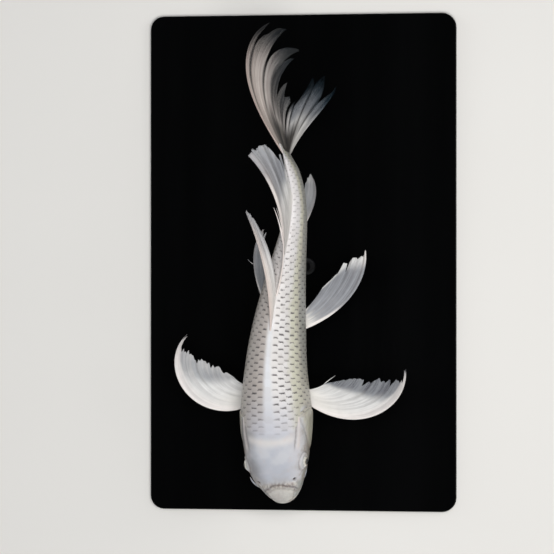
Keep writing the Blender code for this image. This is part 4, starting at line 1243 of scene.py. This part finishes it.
class Sheet:
    """A fin's middle surface, with its ruffles, to be asked for a place at any share and way out."""

    def __init__(self, name, number):
        look = self.look = FINS[name]
        shares, outs = np.linspace(0, 1, SHEET_ACROSS), np.linspace(0, SHEET_PAST, SHEET_ALONG + 1)
        flat = fin_paths(look, shares, SHEET_ALONG)
        self.normal = unit(np.cross(np.gradient(flat, axis=0), np.gradient(flat, axis=1)))
        phase = 0.9 + 1.7 * number  # so that no two fins ruffle alike
        wave = np.sin(2 * math.pi * look.folds * shares + phase)[:, None] * outs[None] ** 1.6
        wave = wave + 0.4 * np.sin(5.3 * math.pi * look.folds * shares + 2 * phase)[:, None] * outs[None] ** 3
        self.points = flat + (look.ruffle * wave)[..., None] * self.normal
        self.edge = np.array(EDGES[name])
        rng = np.random.default_rng(40 + number)
        self.marks = np.arange(2 * look.rays + 1) / (2 * look.rays)
        between_rays = np.arange(2 * look.rays + 1) % 2 == 0
        chance = rng.random(2 * look.rays + 1)
        self.nicks = look.torn * np.where(between_rays, 0.012 + 0.055 * chance**2, 0.03 * chance**2)
        self.nicks[[0, -1]] = 0
        self.rng = rng

    def reach(self, share):
        """How much of the rays' length the fin's torn edge reaches."""
        whole = self.look.start + (self.look.end - self.look.start) * share
        return np.interp(whole, *self.edge.T) * (1 - np.interp(share, self.marks, self.nicks))

    def sample(self, grid, share, out):
        share, out = np.broadcast_arrays(np.asarray(share, float), np.asarray(out, float))
        x = np.clip(share, 0, 1) * (SHEET_ACROSS - 1)
        y = np.clip(out / SHEET_PAST, 0, 1) * SHEET_ALONG
        i, j = np.minimum(x.astype(int), SHEET_ACROSS - 2), np.minimum(y.astype(int), SHEET_ALONG - 1)
        u, v = (x - i)[..., None], (y - j)[..., None]
        near = grid[i, j] * (1 - u) + grid[i + 1, j] * u
        return near * (1 - v) + (grid[i, j + 1] * (1 - u) + grid[i + 1, j + 1] * u) * v

    def at(self, share, out, above=0.0):
        return self.sample(self.points, share, out) + above * unit(self.sample(self.normal, share, out))

    def place(self, share, out):
        """What the finish reads at a place: share, way out and peach, then grey, dim and blue, where dim holds
        painted shade.
        """
        look = self.look
        share, out = np.broadcast_arrays(share, out)
        peach = look.peach * hill(share, 0.45 + 0.45 * look.root_dim) * (1 - ramp(out, 0.75, 1))
        edges = np.maximum(1 - ramp(share, 0.04, 0.2), 0.6 * ramp(share, 0.86, 1))
        grey = look.grey * ramp(out - 0.25 * edges, look.grey_from, look.grey_from + 0.28)
        grey = grey * (1 - look.pale_tip * ramp(out, 0.78, 0.95))
        whole = look.start + (look.end - look.start) * share
        inner = np.abs(whole - 0.5)
        # painted shade on the tail fin: along the gaps between its bundles and near its root
        gaps = sum(hill(whole - gap, GAP_WIDTH * (0.6 + out)) for gap in CAUDAL_GAPS) * ramp(out, 0.12, 0.4)
        shade_by_root = look.root_dim * (1 - ramp(out, 0.22, 0.6)) * (1 - ramp(inner, 0.18, 0.47))
        dim = np.maximum(look.dim * (0.3 + 0.7 * ramp(out, 0.62, 0.95)), shade_by_root)
        dim = np.maximum(dim, look.root_dim * 0.9 * np.minimum(gaps, 1))
        blue = look.blue * ramp(out, 0.35, 0.95) * (0.4 + 0.6 * share)
        return (np.stack([share, out, peach], -1).reshape(-1, 3),
                np.stack([grey, dim, blue], -1).reshape(-1, 3))


def strand_runs(sheet):
    """Each strand of each ray: its ray's share, its side steps, its stretch of the way out and its radii."""
    rays = sheet.look.rays
    for k in range(rays):
        centre = (k + 0.5) / rays
        if k == 0:  # the leading ray is one strong spine
            yield centre, 0, 0, 0, 1.0, 1.35 * RAY_ROOT, 2 * RAY_TIP
            continue
        yield centre, 0, 0, 0, FIRST_BRANCH + 0.02, RAY_ROOT, 1.25 * RAY_BRANCH
        for first in (-1, 1):
            yield (centre, first, 0, FIRST_BRANCH, SECOND_BRANCH + 0.02, 1.1 * RAY_BRANCH,
                   0.75 * RAY_BRANCH)
            for second in (-1, 1):
                yield centre, first, second, SECOND_BRANCH, 1.0, 0.75 * RAY_BRANCH, RAY_TIP


def strand_share(sheet, centre, first, second, out):
    """A strand's share of the root along its way out: branches part from their ray by steps."""
    step = 1 / sheet.look.rays
    return centre + step * (0.24 * first * ramp(out, FIRST_BRANCH - 0.03, 0.85)
                            + 0.12 * second * ramp(out, SECOND_BRANCH - 0.02, 1.0))


def ray_lines(name, sheet):
    """The centre lines of all the strands, as edges that the ray tree gives a body."""
    lines = Lines()
    for centre, first, second, start, end, wide, fine in strand_runs(sheet):
        tip = sheet.reach(strand_share(sheet, centre, first, second, end))
        tip = tip * (0.995 - 0.02 * sheet.rng.random())
        stop = min(end, tip) if end < 1 else tip
        if stop < start + 0.03:
            continue
        out = np.linspace(start, stop, max(8, int(46 * (stop - start))))
        share = strand_share(sheet, centre, first, second, out)
        lines.add(sheet.at(share, out), np.linspace(wide, fine, len(out)), *sheet.place(share, out))
    for loose in LOOSE.get(name, ()):
        way = np.linspace(0, 1, LOOSE_STEPS)
        walk = steps_of(loose.heading + loose.turn * way, loose.pitch + 0 * way) * loose.length / LOOSE_STEPS
        radii = loose.radius * (1 - 0.75 * way**1.5) * (0.3 + 0.7 * ramp(way, 0, 0.3))
        lines.add(sheet.at(loose.share, loose.out) + np.cumsum(walk, axis=0), radii,
                  *sheet.place(loose.share + 0 * way, 0.3 + 0.5 * way))
    return lines.finished(name + "_lines")


class Lines:
    """Lines in the making, with a thickness and a place on the fin for each point."""

    def __init__(self):
        self.columns, self.edges, self.count, self.strands = [], [], 0, 0

    def add(self, points, radii, place, tone):
        strand = np.full(len(points), float(self.strands))
        self.columns.append((points, radii, place, tone, strand))
        self.edges += [(self.count + i, self.count + i + 1) for i in range(len(points) - 1)]
        self.count += len(points)
        self.strands += 1

    def finished(self, name):
        points, radii, place, tone, strand = (np.concatenate(column) for column in zip(*self.columns))
        obj = mesh_object(name, points, smooth=False, edges=self.edges)
        stores = {"thickness": radii, "fin_place": place, "fin_tone": tone, "strand": strand}
        for label, values in stores.items():
            store(obj.data, label, values)
        return obj


def membrane(name, sheet, finish):
    """The thin skin between the rays, closed on both sides and round its torn edge."""
    rays = sheet.look.rays
    shares = np.linspace(0, 1, rays * MEMBRANE_PER_RAY + 1)[:, None]
    beat = shares * rays % 1
    out = np.linspace(0, 1, MEMBRANE_STEPS + 1)[None] * sheet.reach(shares)
    shares = shares + 0 * out
    thick = MEMBRANE_EDGE + (MEMBRANE_ROOT - MEMBRANE_EDGE) * np.exp(-((out / 0.36) ** 1.4))
    sag = 0.1 * MM * np.cos(2 * math.pi * beat) * ramp(out, 0.25, 0.6)
    sides = [sheet.at(shares, out, ((sign * thick + sag) / 2)[..., None]).reshape(-1, 3) for sign in (1, -1)]
    rows, columns = out.shape
    count = rows * columns
    faces = grid_faces(rows, columns) + grid_faces(rows, columns, count, flip=True)
    rim = rim_of_grid(rows, columns)
    faces += [[a, a + count, b + count, b] for a, b in zip(rim, rim[1:] + rim[:1])]
    obj = mesh_object(name, np.vstack(sides), faces, finish)
    for label, values in zip(("fin_place", "fin_tone"), sheet.place(shares, out)):
        store(obj.data, label, np.vstack([values, values]))
    store(obj.data, "strand", np.full(2 * count, -1.0))
    return obj


def strand_tree():
    """Gives each line a round body by its thickness, and joins them to what the object already holds."""
    t = Shape("fin rays", {"Lines": "Object", "Sides": "Int", "Ray material": "Material"})
    lines = t.add("GeometryNodeObjectInfo", {"Object": t.inputs["Lines"]}).outputs["Geometry"]
    curves = t.add("GeometryNodeMeshToCurve", {"Mesh": lines}).outputs[0]
    ring = t.add("GeometryNodeCurvePrimitiveCircle", {"Resolution": t.inputs["Sides"], "Radius": 1.0})
    tubes = t.add("GeometryNodeCurveToMesh", {"Curve": curves, "Profile Curve": ring.outputs[0],
                                              "Fill Caps": True, "Scale": t.named("thickness")}).outputs[0]
    smooth = t.add("GeometryNodeSetShadeSmooth", {"Geometry": tubes}).outputs[0]
    rays = t.coloured(smooth, t.inputs["Ray material"])
    joined = t.add("GeometryNodeJoinGeometry")
    t.feed(joined.inputs[0], t.inputs["Geometry"])
    t.feed(joined.inputs[0], rays)
    return t.end(joined.outputs[0])


def fin_map(mesh, sides):
    """The membrane on the left half of the map, and the rays as strips on its right half."""
    share, out, _ = stored(mesh, "fin_place").T
    strand = stored(mesh, "strand")
    most = max(strand.max(), 1) + 1
    turn = np.arange(len(strand)) % sides
    left = 0.01 + 0.47 * share
    right = 0.51 + 0.48 * (strand + 0.1 + 0.8 * turn / (sides - 1)) / most
    return np.stack([np.where(strand < 0, left, right), 0.01 + 0.98 * out], -1)


def make_fin(name, finishes, tree, number):
    sheet = Sheet(name, number)
    lines = ray_lines(name, sheet)
    fin = membrane("koi_" + name, sheet, finishes["membrane"])
    grown(fin, tree, {"Lines": lines, "Sides": RAY_SIDES, "Ray material": finishes["ray"]})
    bpy.data.objects.remove(lines)
    store_map(fin.data, fin_map(fin.data, RAY_SIDES))
    return fin


def make_barbels(tree, finish):
    """Two fleshy feelers on each side of the mouth."""
    out = np.linspace(0, 1, BARBEL_STEPS)
    lines = Lines()
    for barbel in BARBELS:
        foot = body_point(barbel.behind, math.radians(barbel.angle), BARBEL_SUNK)
        pitch = barbel.pitch + BARBEL_DROOP * np.sin(2.2 * out)
        walk = steps_of(barbel.heading + barbel.turn * out, pitch)
        path = foot + np.cumsum(walk * (barbel.length + 1.5 * MM) / BARBEL_STEPS, axis=0)
        radii = barbel.radius * (1 - 0.62 * out**1.3) * (1 - 0.7 * ramp(out, 0.93, 1))
        nothing = np.zeros((BARBEL_STEPS, 3))
        lines.add(path, radii, nothing, nothing)
    lines = lines.finished("barbel_lines")
    barbels = mesh_object("koi_barbels", [])
    grown(barbels, tree, {"Lines": lines, "Sides": BARBEL_SIDES, "Ray material": finish})
    bpy.data.objects.remove(lines)
    return barbels


# ======================================================================================================
# Eyes
# ======================================================================================================

def make_eye(name, side, centre, outward, finish):
    """An eyeball whose pupil looks out to the side, a little forward of the way its opening faces."""
    gaze = unit(outward * GAZE_OUT + np.array([side * GAZE_ASIDE, -GAZE_AHEAD, -GAZE_DOWN]))
    turns = np.arange(EYE_COLUMNS) * 2 * math.pi / EYE_COLUMNS
    polar, turn = np.meshgrid(np.linspace(0, math.pi, EYE_RINGS + 1)[1:-1], turns, indexing="ij")
    first = unit(np.cross(gaze, [0, 1, 0]))
    second = np.cross(gaze, first)
    spokes = np.cos(turn)[..., None] * first + np.sin(turn)[..., None] * second
    direction = np.cos(polar)[..., None] * gaze + np.sin(polar)[..., None] * spokes
    bulge = 1 + CORNEA_BULGE * hill(np.degrees(polar), CORNEA_WIDTH)
    ball = centre + EYE_RADIUS * bulge[..., None] * direction
    front, back = centre + EYE_RADIUS * (1 + CORNEA_BULGE) * gaze, centre - EYE_RADIUS * gaze
    points = np.vstack([front, ball.reshape(-1, 3), back])
    eye = mesh_object(name, points, capped_faces(EYE_RINGS - 1, EYE_COLUMNS, flip=True), finish)
    angles = np.concatenate([[0], np.degrees(polar).ravel(), [180]])
    upward = np.concatenate([[0.5], (0.5 + 0.5 * unit(direction)[..., 2]).ravel(), [0.5]])
    store(eye.data, "eye_place", angles, upward, 0)
    return eye


# ======================================================================================================
# Stand and studio
# ======================================================================================================

def make_rod(node, finish):
    """A turned rod on a round foot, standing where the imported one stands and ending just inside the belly."""
    low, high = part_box(node)
    x, y = (low.x + high.x) / 2, (low.y + high.y) / 2
    top, foot = high.z + ROD_INSIDE, low.z + FOOT_HEIGHT
    outline = [(FOOT_RADIUS - FOOT_ROUND, low.z), (FOOT_RADIUS, low.z + FOOT_ROUND),
               (FOOT_RADIUS, foot - FOOT_BEVEL), (FOOT_RADIUS - FOOT_BEVEL, foot),
               (ROD_RADIUS + ROD_FILLET, foot), (ROD_RADIUS + FILLET_MIDDLE, foot + FILLET_MIDDLE),
               (ROD_RADIUS, foot + ROD_FILLET), (ROD_RADIUS, top)]
    turns = np.arange(ROD_SIDES) * 2 * math.pi / ROD_SIDES
    rings = [np.stack([x + radius * np.cos(turns), y + radius * np.sin(turns), z + 0 * turns], -1)
             for radius, z in outline]
    points = np.vstack([[x, y, low.z], *rings, [x, y, top]])
    rod = mesh_object("koi_" + node, points, capped_faces(len(rings), ROD_SIDES), finish)
    rod.data.set_sharp_from_angle(angle=math.radians(40))
    return rod


def make_floor(finish):
    corners = [(FLOOR_HALF * x, FLOOR_HALF * y, FLOOR_LEVEL) for x, y in ((-1, -1), (1, -1), (1, 1), (-1, 1))]
    return mesh_object("floor", corners, [[0, 1, 2, 3]], finish, smooth=False)


def area_light(name, place, target, size, power, tone, diffuse=True, glossy=True):
    """A soft light, wide and long as given, that may leave out its diffuse light or its reflections."""
    lamp = bpy.data.lights.new(name, "AREA")
    lamp.shape, (lamp.size, lamp.size_y), lamp.energy, lamp.color = "ELLIPSE", size, power, tone
    obj = bpy.data.objects.new(name, lamp)
    obj.location = place
    obj.rotation_euler = (Vector(target) - Vector(place)).to_track_quat("-Z", "Y").to_euler()
    obj.visible_diffuse, obj.visible_glossy = diffuse, glossy
    bpy.context.scene.collection.objects.link(obj)


def make_studio():
    world = bpy.data.worlds.new("studio")
    world.use_nodes = True
    background = world.node_tree.nodes["Background"]
    background.inputs["Color"].default_value = WORLD_COLOUR
    background.inputs["Strength"].default_value = WORLD_STRENGTH
    bpy.context.scene.world = world
    area_light("key", (0.42, -0.15, 2.05), (0, -0.02, 0.12), (0.9, 0.9), 36, (1.0, 0.99, 0.97), glossy=False)
    area_light("gloss", (-0.42, 0.0, 2.1), (0, 0, 0.12), (0.45, 1.8), 11, (0.96, 0.98, 1.0), diffuse=False)
    area_light("far_fill", (-1.7, 0.6, 0.9), (0, 0, 0.12), (1.0, 1.0), 3, (0.96, 0.98, 1.0), glossy=False)
    area_light("fill", (1.5, 0.4, 1.5), (0, 0, 0.12), (1.0, 1.0), 5, (1.0, 0.98, 0.95))
    bpy.context.scene.view_settings.view_transform = "Standard"


def make_camera():
    """Looks down on the back from a little to the fish's left."""
    camera = bpy.data.objects.new("camera", bpy.data.cameras.new("camera"))
    lean = Vector((math.sin(CAMERA_TILT), 0, math.cos(CAMERA_TILT)))
    camera.location = AIM + CAMERA_DISTANCE * lean
    camera.rotation_euler = (0, CAMERA_TILT, 0)
    camera.data.sensor_width = SENSOR
    camera.data.lens = SENSOR * CAMERA_DISTANCE / VIEW_WIDTH
    camera.data.clip_end = 20
    bpy.context.scene.collection.objects.link(camera)
    bpy.context.scene.camera = camera


def keep_size(before, after):
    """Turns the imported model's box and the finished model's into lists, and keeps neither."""
    [[list(corner) for corner in box] for box in (before, after)]


FLESH = ("head", "lower_jaw", "gill_cover_left", "gill_cover_right", "trunk_front", "trunk_rear",
         "tail_stalk")


def main():
    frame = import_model()
    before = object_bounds()
    finishes = {"skin": skin_finish(), "scales": scale_finish(), "ray": ray_finish(),
                "membrane": membrane_finish(), "eye": eye_finish(), "lacquer": lacquer_finish(),
                "steel": steel_finish()}
    skin = make_skin(finishes["skin"])
    scales = make_scales(skin, finishes["scales"])
    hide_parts(*FLESH)
    pieces = [(skin, "skin"), (scales, "skin")]
    for (name, side), (centre, outward) in zip((("left", 1), ("right", -1)), eye_axes()):
        eye = make_eye(f"koi_eye_{name}", side, centre, outward, finishes["eye"])
        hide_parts(f"eye_{name}")
        pieces.append((eye, "eye"))
    strands = strand_tree()
    for number, name in enumerate(FINS):
        fin = make_fin(name, finishes, strands, number)
        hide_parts(name)
        pieces.append((fin, "fin"))
    barbels = make_barbels(strands, finishes["skin"])
    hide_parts(*(name for name in frame["nodes"] if name.startswith("barbel_")))
    pieces.append((barbels, "skin"))
    for node in RODS:
        rod = make_rod(node, finishes["steel"])
        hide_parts(node)
        pieces.append((rod, "stand_rod"))
    base = frame["nodes"]["stand_base"]
    base.data.materials.clear()
    base.data.materials.append(finishes["lacquer"])
    for piece, slot in pieces:
        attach(piece, "root")
    make_floor(floor_finish())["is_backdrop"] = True
    make_studio()
    make_camera()
    keep_size(before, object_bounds())


main()
